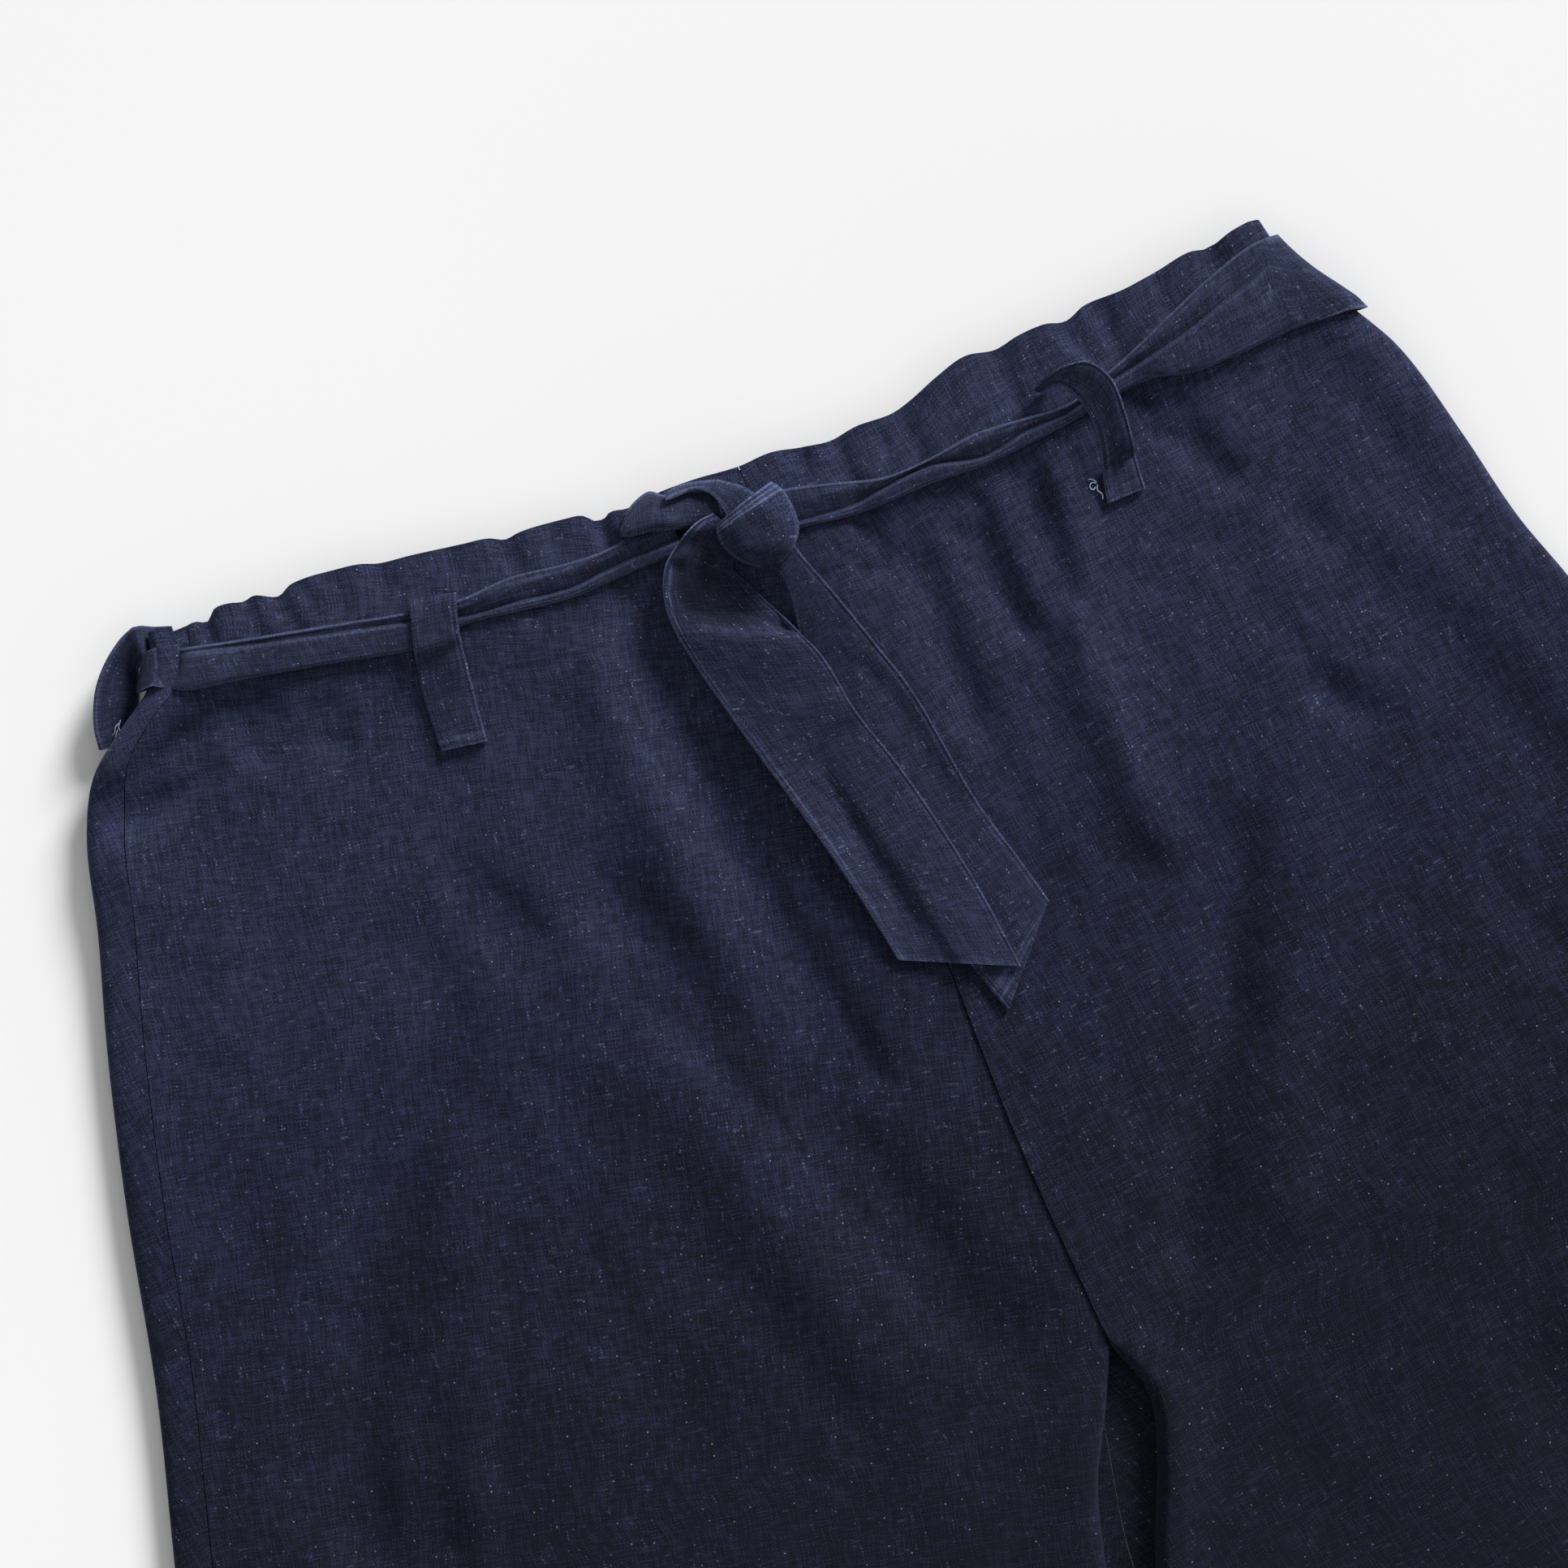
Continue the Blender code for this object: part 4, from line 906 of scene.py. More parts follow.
class Ground:
    """The height of what lies below a new piece, on a grid of cells a millimetre wide."""

    LOW_U, HIGH_U, LOW_S, HIGH_S = -250, 250, -20, 245

    def __init__(self):
        shape = (self.HIGH_S - self.LOW_S + 1, self.HIGH_U - self.LOW_U + 1)
        self.heights = np.zeros(shape)

    def add(self, outer):
        """Lay a piece: its outer points raise the ground."""
        rows, columns = outer.shape[:2]
        number = np.arange(rows * columns).reshape(rows, columns)
        faces = np.stack((number[:-1, :-1], number[1:, :-1], number[1:, 1:], number[:-1, 1:]), axis=-1)
        points = outer.reshape(-1, 3)
        tree = BVHTree.FromPolygons(points.tolist(), faces.reshape(-1, 4).tolist())
        first_u = max(self.LOW_U, int(points[:, 0].min()))
        last_u = min(self.HIGH_U, int(points[:, 0].max()) + 1)
        first_s = max(self.LOW_S, int(points[:, 1].min()))
        last_s = min(self.HIGH_S, int(points[:, 1].max()) + 1)
        down = Vector((0, 0, -1))
        for s in range(first_s, last_s + 1):
            for u in range(first_u, last_u + 1):
                hit = tree.ray_cast(Vector((u, s, 200.0)), down)[0]
                if hit is not None:
                    cell = s - self.LOW_S, u - self.LOW_U
                    self.heights[cell] = max(self.heights[cell], hit.z)

    def widened(self, reach, blur):
        """The heights, each the largest within reach, then made smooth over a blur."""
        high = self.heights.copy()
        for ds in range(-reach, reach + 1):
            for du in range(-reach, reach + 1):
                if du * du + ds * ds <= reach * reach + 1:
                    high = np.maximum(high, np.roll(self.heights, (ds, du), axis=(0, 1)))
        for _ in range(2):
            for axis in (0, 1):
                high = sum(np.roll(high, k, axis=axis) for k in range(-blur, blur + 1)) / (2 * blur + 1)
        return high

    def at(self, grid, u, s):
        """Values of a grid at places between its cells."""
        x = clamp(u - self.LOW_U, 0, grid.shape[1] - 1.001)
        y = clamp(s - self.LOW_S, 0, grid.shape[0] - 1.001)
        i, j = np.floor(y).astype(int), np.floor(x).astype(int)
        fy, fx = y - i, x - j
        return (
            grid[i, j] * (1 - fy) * (1 - fx)
            + grid[i + 1, j] * fy * (1 - fx)
            + grid[i, j + 1] * (1 - fy) * fx
            + grid[i + 1, j + 1] * fy * fx
        )


def smooth_rows(rows, steps):
    """More rows through the given ones, each column on a smooth curve."""
    keyed = [(float(k), *row) for k, row in enumerate(rows)]
    keys = np.arange((len(rows) - 1) * steps + 1) / steps
    return np.stack([read_table(keyed, keys, column) for column in range(1, len(keyed[0]))], axis=-1)


def edge_spaced(width, step):
    """Distances across a strip: close together by its two edges, and wider between them."""
    fine = [d for d in EDGE_COLUMNS if d < 0.45 * width]
    count = max(1, round((width - 2 * fine[-1]) / step))
    middle = np.linspace(fine[-1], width - fine[-1], count + 1)
    return np.concatenate((fine[:-1], middle, [width - d for d in fine[-2::-1]])) / width


def along_rows(outer):
    """How far each row of a strip is from its first, along its middle."""
    middle = outer[:, outer.shape[1] // 2]
    steps = np.linalg.norm(np.diff(middle, axis=0), axis=-1)
    return np.concatenate(([0.0], np.cumsum(steps)))


def edge_profile(distance, wall):
    """The height of doubled cloth at a distance from its stitched edge."""
    rounded = EDGE_LEAST + (1.0 - EDGE_LEAST) * ease(distance / EDGE_LENGTH)
    return wall * rounded - GROOVE_DEPTH * bump(distance - GROOVE_IN, GROOVE_WIDTH)


def edge_wear(distance):
    """Paler cloth along an edge and along its line of stitches."""
    return 0.8 * bump(distance - 0.3, 0.3) + 0.55 * bump(distance - 2.1, 0.28)


def strip_cloth(outer, width_mm, shares):
    along = along_rows(outer)
    across = np.tile(shares * width_mm, (outer.shape[0], 1))
    return np.stack((across, np.tile(along[:, None], (1, outer.shape[1]))), axis=-1)


def laid_strip(ground, table, width, crown, left_wear, right_wear, start_wear, end_wear):
    """A strip on what lies below it: flat with stitched edges, or with a rounded crown."""
    rows = smooth_rows([(*row, *STRIP_REST[len(row) - 4:]) for row in table], STRIP_ROW_STEPS)
    shares = edge_spaced(width, STRIP_COLUMN)
    arch = (4 * shares * (1 - shares))[None, :]
    left, right = rows[:, None, 0:2], rows[:, None, 2:4]
    place = left + (right - left) * shares[None, :, None]
    u, s = place[..., 0], place[..., 1]
    wall, sag = rows[:, 6:7], rows[:, 7:8]
    lifted = mix(rows[:, 4:5], rows[:, 5:6], shares[None, :]) - sag * arch
    below = ground.widened(STRIP_REACH, KNOT_BLUR if crown else STRIP_BLUR)
    low = np.maximum(ground.at(below, u, s) + REST_GAP, lifted)
    across = np.hypot(rows[:, 2] - rows[:, 0], rows[:, 3] - rows[:, 1])[:, None]
    distance = np.minimum(shares, 1 - shares)[None, :] * across
    worn_side = np.where(shares < 0.5, left_wear, right_wear)[None, :]
    if crown:
        round_share = np.sqrt(np.maximum(0.0, 1 - (2 * shares[None, :] - 1) ** 2))
        thick = np.maximum(wall * (0.15 + 0.85 * round_share), 1.0)
        wear_and_shade = worn_side * bump(distance - 0.4, 0.8)
    else:
        thick = edge_profile(distance, wall)
        wear_and_shade = worn_side * edge_wear(distance)
    inner = np.stack((u, s, low), axis=-1)
    outer = np.stack((u, s, low + thick), axis=-1)
    # Painted shade: the sagging middle of a strip is painted darker, as if shaded in its hollow.
    wear_and_shade = wear_and_shade - HOLLOW_PAINTED_SHADE * np.maximum(sag, 0.0) * arch
    along = along_rows(outer)[:, None]
    for strength, gone in ((start_wear, along), (end_wear, along[-1] - along)):
        wear_and_shade = wear_and_shade + strength * (edge_wear(gone) + 0.7 * bump(gone - 3.6, 0.3))
        if strength:
            outer[..., 2] -= 0.3 * bump(gone - 1.2, 0.4)
    return outer, inner, strip_cloth(outer, width, shares), wear_and_shade


def worn_edges(rows, share, width, strength, start, reach):
    """Wear along both edges of a strip, strongest at a distance from each edge."""
    distance = np.minimum(share, 1 - share) * width
    return np.tile(strength * bump(distance - start, reach), (rows, 1))


def belt_shares():
    """Shares across the belt: the upper layer from 0 to 1, and the lower layer from 1 to 2."""
    upper = np.array([0.0, 0.04, 0.1, 0.18, 0.28, 0.42, 0.6, 0.8, 0.94, 0.99])
    lower = np.array([0.01, 0.04, 0.08, 0.13, 0.2, 0.3, 0.42, 0.55, 0.7, 0.82, 0.9, 0.95, 0.98, 1.0])
    return upper, lower


def belt_front_rows(ground, side, table):
    """The belt on the front: each row goes over the upper layer and then the lower one."""
    rows = smooth_rows(table, BELT_ROW_STEPS)
    upper, lower = belt_shares()
    widened = ground.widened(4, 2)
    u = rows[:, :1]
    tops, creases, bottoms = rows[:, 1:2], rows[:, 2:3], rows[:, 3:4]
    s = np.concatenate((mix(tops, creases - 0.2, upper), mix(creases + 0.2, bottoms, lower)), axis=1)
    wide = np.tile(u, (1, s.shape[1]))
    low = ground.at(widened, wide, s) + REST_GAP
    from_top = s - tops
    from_bottom = bottoms - s
    from_crease = np.abs(s - creases)
    sinking = ease(from_top / (creases - tops) * 1.5 - 0.5)
    upper_high = rows[:, 4:5] * (1.0 - 0.5 * sinking)
    step = ease(0.5 + (s - creases) / 1.4)
    high = mix(upper_high, rows[:, 5:6], step)
    from_end = np.abs(outer_edge(side, BELT_EDGE_STATION) - u) - BELT_EDGE_IN
    layered = ease(from_end / BELT_LAYERS_FADE)
    high = mix(0.5 * (rows[:, 4:5] + rows[:, 5:6]), high, layered)
    high = mix(BELT_CLOTH + BELT_EDGE_GAP, high, ease(from_end / BELT_HEIGHT_FADE))
    high = high * (0.4 + 0.6 * ease(np.minimum(from_top, from_bottom) / 1.1))
    high -= 0.35 * bump(from_bottom - 1.5, 0.4) + 0.35 * bump(from_top - 1.7, 0.4)
    high -= 0.8 * layered * bump(from_crease, 0.5)
    wear_and_shade = 0.35 * bump(from_top - 0.4, 0.4) + 0.3 * bump(from_bottom - 0.4, 0.4)
    wear_and_shade += 0.2 * bump(s - creases - 1.0, 0.5) + 0.2 * bump(from_top - 2.4, 0.3)
    inner = np.stack((wide, s, low), axis=-1)
    outer = np.stack((wide, s, low + high), axis=-1)
    if side == LEFT:
        outer, inner, wear_and_shade = outer[::-1], inner[::-1], wear_and_shade[::-1]
    return outer, inner, wear_and_shade


def belt_turn_rows(side, columns):
    """The belt where it turns round the waist's edge, from the front to the underside."""
    top, bottom = BELT_BACK_SIDES[side]
    share = np.linspace(0.0, 1.0, columns)[None, :]
    angle = (math.pi * np.arange(1, BELT_TURN_STEPS + 1) / (BELT_TURN_STEPS + 1))[:, None]
    station = mix(top, bottom, share)
    edge_start = outer_edge(side, station) - side * EDGE_ROUND
    high = front_height(side, station, edge_start)
    low = underside(side, station, edge_start)
    rounded = share * (1.0 - 0.45 * ease((share - 0.8) / 0.2))
    bulge = REST_GAP + BELT_EDGE_GAP + BELT_EDGE_SLACK[side] * rounded * np.sin(angle)
    shifted = station + BELT_EDGE_TILT[side] * rounded * np.sin(angle)
    faces = []
    for offset in (bulge + BELT_CLOTH, bulge):
        u = edge_start + side * (EDGE_ROUND + offset) * np.sin(angle)
        z = 0.5 * (high + low) + (0.5 * (high - low) + offset) * np.cos(angle)
        faces.append(np.stack((u, np.broadcast_to(shifted, u.shape), z), axis=-1))
    return faces


def belt_under_rows(side, u, top, bottom, sag, columns):
    """The belt under the waist: at its underside, or down on the floor."""
    share = np.linspace(0.0, 1.0, columns)[None, :]
    station = mix(top, bottom, share)
    hung = BACK_RAISE - REST_GAP - BELT_EDGE_GAP - BELT_CLOTH
    u = np.broadcast_to(u, station.shape)
    low = np.broadcast_to(mix(hung, 0.0, sag), station.shape)
    s = row_place(side, station, u)
    outer = np.stack((u, s, low), axis=-1)
    return outer, outer + np.array((0.0, 0.0, BELT_CLOTH))


def belt_front(ground, side, table):
    outer, inner, wear_and_shade = belt_front_rows(ground, side, table)
    columns = outer.shape[1]
    turned_outer, turned_inner = belt_turn_rows(side, columns)
    top, bottom = BELT_BACK_SIDES[side]
    edge = outer_edge(side, 0.5 * (top + bottom)) - side * EDGE_ROUND
    ends = [belt_under_rows(side, edge - side * away, top, bottom, 0.0, columns)
            for away in (0.0, 4.0, BELT_TURN_IN)]
    outer = np.concatenate([outer, turned_outer] + [end[0] for end in ends])
    inner = np.concatenate([inner, turned_inner] + [end[1] for end in ends])
    share = np.linspace(0.0, 1.0, columns)
    turned_wear = worn_edges(len(outer) - len(wear_and_shade), share, BELT_SEEN_WIDTH, 0.8, 0.4, 0.7)
    wear_and_shade = np.concatenate((wear_and_shade, turned_wear))
    return outer, inner, strip_cloth(outer, BELT_WIDTH, share), wear_and_shade


def belt_behind():
    """The stretch under the waist, which sags to the floor between the loops."""
    ends = {}
    for side, (top, bottom) in BELT_BACK_SIDES.items():
        edge = outer_edge(side, 0.5 * (top + bottom)) - side * EDGE_ROUND
        ends[side] = float(edge - side * (BELT_TURN_IN + SEAM_GAP))
    loops = (
        float(back_inner_edge(LEFT, 20.0)),
        float(outer_edge(RIGHT, 25.0)) - SIDE_LOOP_IN,
        ends[LEFT],
    )
    faces = []
    for share in np.arange(BELT_BACK_ROWS + 1) / BELT_BACK_ROWS:
        u = mix(ends[LEFT], ends[RIGHT], share)
        top, bottom = mix(*np.array([BELT_BACK_SIDES[LEFT], BELT_BACK_SIDES[RIGHT]]), ease(share * 1.6))
        nearest = min(abs(u - place) for place in loops)
        sag = ease((nearest - 0.5 * LOOP_WIDTH - BELT_LOOP_CLEAR) / BELT_SAG_LENGTH)
        side = LEFT if u < 0 else RIGHT
        faces.append(belt_under_rows(side, u, top, bottom, sag, BELT_BACK_COLUMNS))
    outer, inner = (np.concatenate(rows) for rows in zip(*faces))
    share = np.linspace(0.0, 1.0, BELT_BACK_COLUMNS)
    wear_and_shade = worn_edges(len(outer), share, BELT_SEEN_WIDTH, 0.7, 0.0, 1.2)
    return outer, inner, strip_cloth(outer, BELT_WIDTH, share), wear_and_shade


def loop_under(middle):
    """A loop on the underside, flat on the floor below the belt and up to the panel at its ends."""
    share = np.linspace(0.0, 1.0, LOOP_COLUMNS)
    rows = []
    for station in LOOP_STATIONS:
        centre = float(middle(station))
        side = LEFT if centre < 0 else RIGHT
        u = centre + (share - 0.5) * LOOP_WIDTH
        low = 0.0 * u
        if not LOOP_SEWN_ABOVE <= station <= LOOP_SEWN_BELOW:
            sewn = underside(side, station, u) - SEAM_GAP - LOOP_CLOTH - BACK_GATHER_DEPTH * 0.1
            low = np.minimum(sewn, BACK_RAISE - REST_GAP - LOOP_CLOTH)
        rows.append(np.stack((u, row_place(side, station, u), low), axis=-1))
    outer = np.stack(rows)
    wear_and_shade = worn_edges(len(outer), share, LOOP_WIDTH, 0.8, 0.0, 1.2)
    return outer, outer + np.array((0.0, 0.0, LOOP_CLOTH)), strip_cloth(outer, LOOP_WIDTH, share), wear_and_shade


def loop_beside(ground):
    """The left side's loop: sewn to the waist's corner, it bows away like a bowl's wall."""
    rows = smooth_rows(LOOP_SIDE_LEFT, SIDE_LOOP_STEPS)
    share = np.linspace(0.0, 1.0, SIDE_LOOP_COLUMNS)
    upper, lower = rows[:, None, :3], rows[:, None, 3:]
    face = upper + (lower - upper) * share[None, :, None]
    ahead = np.gradient(face, axis=0)
    across = np.gradient(face, axis=1)
    outward = np.cross(ahead, across)
    outward /= np.linalg.norm(outward, axis=-1, keepdims=True)
    outward *= np.where(outward[..., 2:] > 0, -1.0, 1.0)
    on_waist = ease((face[..., 0] - SIDE_LOOP_WAIST) / SIDE_LOOP_BLEND)
    laid = ground.at(ground.widened(3, 1), face[..., 0], face[..., 1]) + REST_GAP + LOOP_CLOTH
    face[..., 2] = mix(face[..., 2], np.maximum(face[..., 2], laid), on_waist)
    wear_and_shade = worn_edges(len(face), share, LOOP_WIDTH, 0.35, 0.3, 0.8)
    return face, face + outward * LOOP_CLOTH, strip_cloth(face, LOOP_WIDTH, share), wear_and_shade


def thread(points, radius):
    """Rings of points round a short loose thread."""
    keyed = [(float(k), *point) for k, point in enumerate(points)]
    keys = np.linspace(0.0, len(points) - 1.0, THREAD_STEPS * len(points))
    path = np.stack([read_table(keyed, keys, column) for column in (1, 2, 3)], axis=-1)
    ahead = np.gradient(path, axis=0)
    ahead /= np.linalg.norm(ahead, axis=-1, keepdims=True)
    beside = np.cross(ahead, (0.0, 0.0, 1.0))
    beside /= np.linalg.norm(beside, axis=-1, keepdims=True) + 1e-6
    above = np.cross(beside, ahead)
    turns = 2 * math.pi * np.arange(THREAD_SIDES) / THREAD_SIDES
    return path[:, None] + radius * (np.cos(turns)[:, None] * beside[:, None]
                                     + np.sin(turns)[:, None] * above[:, None])


def make_frays(ground, material):
    """The loose pale threads at the right front loop's foot and at the side loop's."""
    for name, (u, s), bends in FRAYS:
        points, faces = [], []
        for bend in bends:
            start = np.array((u + bend[0][0], s + bend[0][1]))
            base = float(ground.at(ground.heights, start[0], start[1]))
            rings = thread([(u + du, s + ds, base + z) for du, ds, z in bend], THREAD_RADIUS)
            first = sum(len(part) for part in points)
            number = first + np.arange(len(rings) * THREAD_SIDES).reshape(-1, THREAD_SIDES)
            turned = np.roll(number, -1, axis=1)
            sides = np.stack((number[:-1], number[1:], turned[1:], turned[:-1]), axis=-1)
            faces.append(sides.reshape(-1, 4))
            points.append(rings.reshape(-1, 3))
        points = np.concatenate(points)
        wear_and_shade = np.ones(len(points))
        piece = finish_mesh(name, points, np.concatenate(faces), points[:, :2].copy(), wear_and_shade, material)


def new_node(tree, kind, **settings):
    node = tree.nodes.new(kind)
    for name, value in settings.items():
        setattr(node, name, value)
    return node


def new_material(name):
    """A material, its node tree and its shader."""
    material = bpy.data.materials.new(name)
    material.use_nodes = True
    tree = material.node_tree
    return material, tree, tree.nodes["Principled BSDF"]


def math_node(tree, operation, a, b=None, c=None):
    node = new_node(tree, "ShaderNodeMath", operation=operation)
    for socket, value in zip(node.inputs, (a, b, c)):
        if value is None:
            continue
        if isinstance(value, (int, float)):
            socket.default_value = value
        else:
            tree.links.new(value, socket)
    return node.outputs[0]


def product(tree, a, b):
    return math_node(tree, "MULTIPLY", a, b)


def added(tree, a, share, b):
    """A share of one value on top of another."""
    return math_node(tree, "MULTIPLY_ADD", a, share, b)


def ranged(tree, value, low, high, to_low=0.0, to_high=1.0):
    """A smooth step of a value from low to high."""
    node = new_node(tree, "ShaderNodeMapRange", interpolation_type="SMOOTHSTEP")
    tree.links.new(value, node.inputs["Value"])
    for name, number in (("From Min", low), ("From Max", high), ("To Min", to_low), ("To Max", to_high)):
        node.inputs[name].default_value = number
    return node.outputs[0]


def mixed(tree, factor, a, b):
    """A mix of two colours by a factor."""
    node = new_node(tree, "ShaderNodeMix", data_type="RGBA")
    tree.links.new(factor, node.inputs[0])
    for socket, value in ((node.inputs[6], a), (node.inputs[7], b)):
        if isinstance(value, tuple):
            socket.default_value = (*value, 1.0)
        else:
            tree.links.new(value, socket)
    return node.outputs[2]


def noise_at(tree, vector, scale, stretch, detail=2.0, roughness=0.5, offset=(0.0, 0.0, 0.0)):
    mapping = new_node(tree, "ShaderNodeMapping")
    mapping.inputs["Scale"].default_value = (*stretch, 1.0)
    mapping.inputs["Location"].default_value = offset
    tree.links.new(vector, mapping.inputs["Vector"])
    noise = new_node(tree, "ShaderNodeTexNoise", noise_dimensions="2D")
    noise.inputs["Scale"].default_value = scale
    noise.inputs["Detail"].default_value = detail
    noise.inputs["Roughness"].default_value = roughness
    tree.links.new(mapping.outputs[0], noise.inputs["Vector"])
    return noise.outputs["Fac"]


def weave(tree, place):
    """The plain weave: where a point is, each thread's number, and the crossings, from -1 to 1."""
    parts = new_node(tree, "ShaderNodeSeparateXYZ")
    tree.links.new(place, parts.inputs[0])
    numbers, waves = [], []
    for axis in (0, 1):
        shift = noise_at(tree, place, 1.0, (0.11, 0.11), offset=(axis * 31.0, 7.0, 0.0))
        turns = math_node(tree, "DIVIDE", added(tree, shift, 1.6, parts.outputs[axis]), THREAD_PITCH)
        numbers.append(math_node(tree, "FLOOR", turns))
        waves.append(math_node(tree, "SINE", product(tree, turns, math.pi)))
    return parts.outputs, numbers, product(tree, *waves)


def thread_noise(tree, number, along, spacing, stretch, detail=1.0):
    """Noise that runs along each thread and differs from thread to thread."""
    joined = new_node(tree, "ShaderNodeCombineXYZ")
    tree.links.new(product(tree, number, spacing), joined.inputs[0])
    tree.links.new(product(tree, along, stretch), joined.inputs[1])
    return noise_at(tree, joined.outputs[0], 1.0, (1.0, 1.0), detail=detail)


def weave_tone(tree, edges, numbers, crossings):
    """How light the thread on top is: the warp at one crossing, the weft at the next."""
    warp, weft = numbers
    values = (
        ranged(tree, crossings, -0.12, 0.12),
        thread_noise(tree, weft, edges[0], 5.73, 0.13),
        thread_noise(tree, warp, edges[1], 7.31, 0.10),
    )
    tone = new_node(tree, "ShaderNodeMix", data_type="FLOAT")
    for socket, value in zip((0, 2, 3), values):
        tree.links.new(value, tone.inputs[socket])
    return tone.outputs[0]


def weave_slubs(tree, edges, numbers, crossings, worn_and_shaded):
    """Light slubs along the threads, weaker where the cloth is darker: where painted shade darkens the
    legs and the hollows.
    """
    warp, weft = numbers
    warp_slubs = ranged(tree, thread_noise(tree, warp, edges[1], 3.17, 0.16, 2.0), 0.68, 0.80)
    weft_slubs = ranged(tree, thread_noise(tree, weft, edges[0], 4.71, 0.14, 2.0), 0.70, 0.82)
    warp_slubs = product(tree, warp_slubs, ranged(tree, crossings, -0.2, 0.5, 0.05, 0.95))
    weft_slubs = product(tree, weft_slubs, ranged(tree, crossings, 0.6, -0.3, 0.2, 0.6))
    slubs = math_node(tree, "MAXIMUM", warp_slubs, weft_slubs)
    return product(tree, slubs, ranged(tree, worn_and_shaded, LEG_PAINTED_SHADE, 0.05, 0.30, 0.75))


def white_nubs(tree, place):
    """Small white nubs, in some of the cells of a scattered pattern."""
    nub = new_node(tree, "ShaderNodeTexVoronoi", voronoi_dimensions="2D")
    nub.inputs["Scale"].default_value = 0.14
    tree.links.new(place, nub.inputs["Vector"])
    chosen = new_node(tree, "ShaderNodeSeparateColor")
    tree.links.new(nub.outputs["Color"], chosen.inputs[0])
    small = ranged(tree, nub.outputs["Distance"], 0.046, 0.024)
    return product(tree, small, ranged(tree, chosen.outputs[0], 0.45, 1.2))


def raise_surface(tree, shader, height):
    raised = new_node(tree, "ShaderNodeBump")
    raised.inputs["Strength"].default_value = 0.5
    raised.inputs["Distance"].default_value = 0.0002
    tree.links.new(height, raised.inputs["Height"])
    tree.links.new(raised.outputs[0], shader.inputs["Normal"])


def indigo_cloth(name, dark, blue, light):
    """Slub plain weave in uneven indigo: dark ground, bluer threads, light slubs and white nubs."""
    material, tree, shader = new_material(name)
    place = new_node(tree, "ShaderNodeUVMap", uv_map="cloth").outputs["UV"]
    worn_and_shaded = new_node(tree, "ShaderNodeAttribute", attribute_name="wear_and_shade").outputs["Fac"]
    edges, numbers, crossings = weave(tree, place)
    bulge = math_node(tree, "ABSOLUTE", crossings)
    tone = weave_tone(tree, edges, numbers, crossings)
    patches = noise_at(tree, place, 0.03, (1.0, 1.0), detail=2.0, offset=(5.0, 11.0, 0.0))
    body = added(tree, ranged(tree, tone, 0.22, 0.80), 0.50, ranged(tree, patches, 0.3, 0.7, 0.0, 0.06))
    body = added(tree, bulge, 0.34, body)
    # The attribute lightens worn edges and stitches, and also carries painted shade in the hollows and
    # down the legs and painted light at the waist.
    body = added(tree, worn_and_shaded, 0.9, body)
    colour = mixed(tree, ranged(tree, body, 0.0, 1.2), dark, blue)

    slubs = weave_slubs(tree, edges, numbers, crossings, worn_and_shaded)
    edge_threads = product(tree, worn_and_shaded, ranged(tree, tone, 0.35, 0.7, 0.2, 1.0))
    lighter = added(tree, math_node(tree, "MAXIMUM", edge_threads, 0.0), 0.6, slubs)
    colour = mixed(tree, math_node(tree, "MINIMUM", lighter, 1.0), colour, light)
    nubs = white_nubs(tree, place)
    colour = mixed(tree, product(tree, nubs, 0.85), colour, NUB_WHITE)
    tree.links.new(colour, shader.inputs["Base Color"])

    tree.links.new(ranged(tree, tone, 0.3, 0.7, 0.98, 0.86), shader.inputs["Roughness"])
    shader.inputs["Specular IOR Level"].default_value = 0.12
    shader.inputs["Sheen Weight"].default_value = 0.05
    shader.inputs["Sheen Roughness"].default_value = 0.45
    shader.inputs["Sheen Tint"].default_value = (0.55, 0.65, 1.0, 1.0)
    raise_surface(tree, shader, added(tree, nubs, 0.5, added(tree, bulge, 0.5, tone)))
    return material


def loose_thread():
    """Pale undyed thread with its twist."""
    material, tree, shader = new_material("pale thread")
    place = new_node(tree, "ShaderNodeUVMap", uv_map="cloth").outputs["UV"]
    twist = noise_at(tree, place, 1.6, (1.0, 1.0))
    tree.links.new(mixed(tree, twist, *PALE_THREAD), shader.inputs["Base Color"])
    shader.inputs["Roughness"].default_value = 0.9
    return material


def floor_material():
    material, tree, shader = new_material("pale floor")
    place = new_node(tree, "ShaderNodeTexCoord").outputs["Object"]
    patches = noise_at(tree, place, 3.0, (1.0, 1.0))
    tree.links.new(mixed(tree, patches, *FLOOR_TONES), shader.inputs["Base Color"])
    shader.inputs["Roughness"].default_value = 0.9
    shader.inputs["Specular IOR Level"].default_value = 0.1
    return material


def make_panels(ground, material):
    for side, word in ((LEFT, "left"), (RIGHT, "right")):
        for front, face in ((True, "front"), (False, "back")):
            outer, inner, cloth = panel(side, front)
            # Painted light falloff: painted lighter at the waist and darker down the legs, as painted
            # shade.
            wear_and_shade = mix(WAIST_PAINTED_LIGHT, LEG_PAINTED_SHADE, ease((outer[..., 1] - FADE_FROM) / FADE_LENGTH))
            piece = wall_piece(f"{face}_{word}_cloth", outer, inner, cloth, wear_and_shade, material)
            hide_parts(f"{face}_{word}")
            if front:
                ground.add(outer)


def make_strip(ground, node, built, material):
    """A strip's piece: it stands for a node of the solids where there is one."""
    outer, inner, cloth, wear_and_shade = built
    piece = wall_piece(f"{node}_cloth", outer, inner, cloth, wear_and_shade, material)
    if node in frame["nodes"]:
        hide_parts(node)
    if ground is not None:
        ground.add(outer)


def make_belt(ground, material):
    make_strip(ground, "loop_side_left", loop_beside(ground), material)
    for word, side, table in (("left", LEFT, BELT_LEFT), ("right", RIGHT, BELT_RIGHT)):
        make_strip(ground, f"belt_{word}", belt_front(ground, side, table), material)
    make_strip(None, "belt_back", belt_behind(), material)
    for node, table, width, crown, wear_and_shade, on in STRIPS:
        make_strip(ground, node, laid_strip(ground, table, width, crown, *wear_and_shade), material)


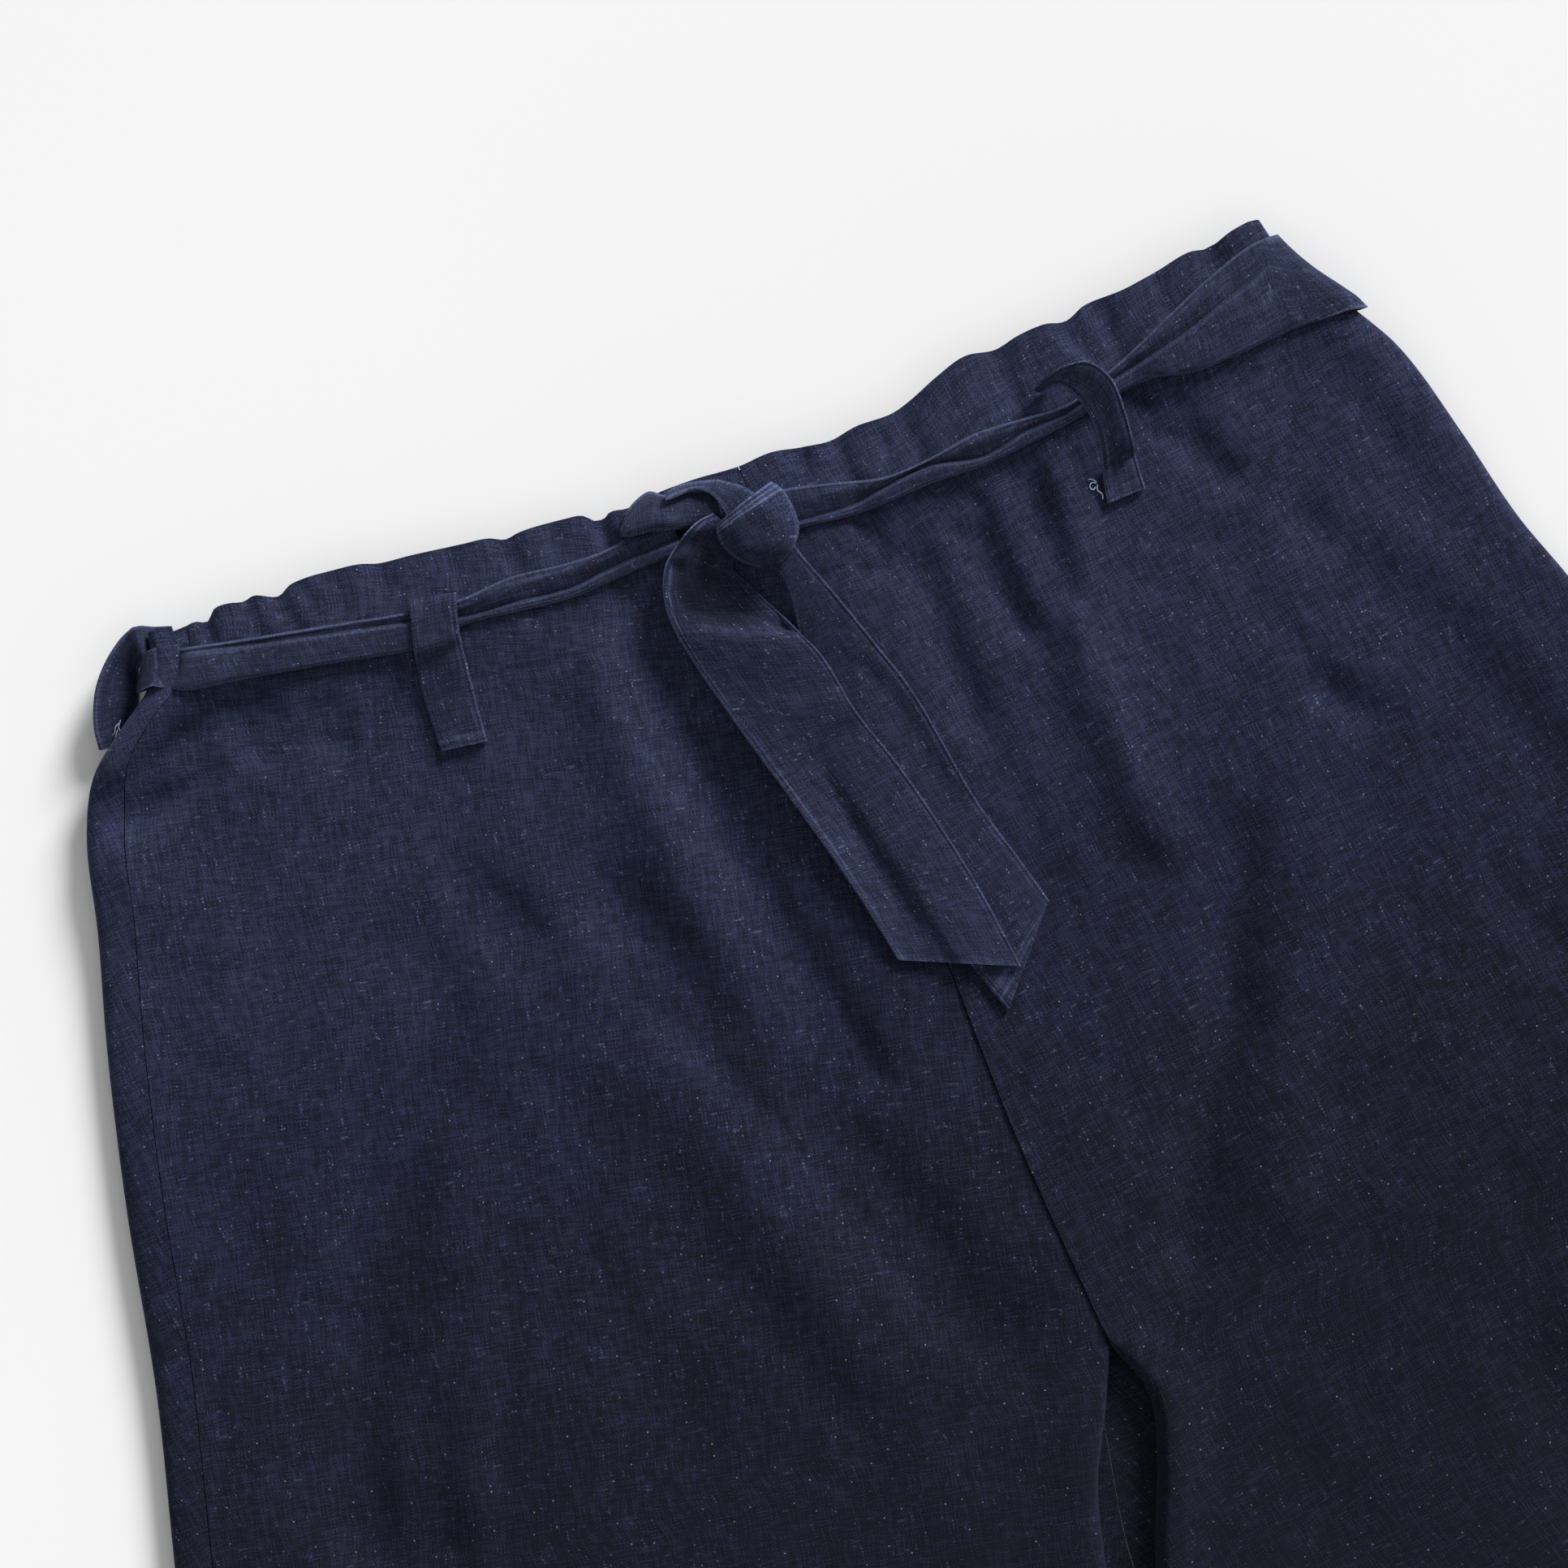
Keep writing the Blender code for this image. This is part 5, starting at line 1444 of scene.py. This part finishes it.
def make_other_loops(material):
    side_loop = loop_under(lambda station: outer_edge(RIGHT, station) - SIDE_LOOP_IN)
    make_strip(None, "loop_side_right", side_loop, material)
    back_loop = loop_under(lambda station: back_inner_edge(LEFT, station))
    make_strip(None, "loop_back", back_loop, material)


def make_floor():
    mesh = bpy.data.meshes.new("floor")
    corners = [(x * FLOOR_HALF, y * FLOOR_HALF, 0.0) for x, y in ((-1, -1), (1, -1), (1, 1), (-1, 1))]
    mesh.from_pydata(corners, [], [(0, 1, 2, 3)])
    mesh.materials.append(floor_material())
    floor = linked("floor", mesh)
    floor.location.z = -FLOOR_DROP


def make_camera():
    data = bpy.data.cameras.new("camera")
    data.type = "PERSP"
    data.lens = LENS
    data.sensor_width = SENSOR
    data.clip_end = 20.0
    camera = linked("camera", data)
    distance = VIEW_WIDTH * METRES * LENS / SENSOR + CAMERA_LIFT
    camera.matrix_world = (Matrix.Translation((*CAMERA_PLACE, distance))
                           @ Matrix.Rotation(CAMERA_ROLL, 4, "Z"))
    bpy.context.scene.camera = camera


def sun_light(name, towards, softness, strength):
    """A broad soft light from a direction; the softness is its width in degrees."""
    data = bpy.data.lights.new(name, "SUN")
    data.energy = strength
    data.angle = math.radians(softness)
    linked(name, data).rotation_euler = Vector(towards).to_track_quat("Z", "Y").to_euler()


def make_light():
    world_light = bpy.data.worlds.new("soft light")
    world_light.use_nodes = True
    background = world_light.node_tree.nodes["Background"]
    background.inputs["Color"].default_value = (1.0, 1.0, 1.0, 1.0)
    background.inputs["Strength"].default_value = SKY_STRENGTH
    bpy.context.scene.world = world_light
    sun_light("key", SUN_TOWARDS, SUN_WIDTH, SUN_STRENGTH)
    bpy.context.scene.view_settings.view_transform = "Standard"


def main():
    make_camera()
    ground = Ground()
    belt_indigo = indigo_cloth("indigo belt cloth", *BELT_INDIGO)
    make_panels(ground, indigo_cloth("indigo cloth", *INDIGO))
    make_belt(ground, belt_indigo)
    make_other_loops(belt_indigo)
    make_frays(ground, loose_thread())
    make_floor()
    make_light()


main()
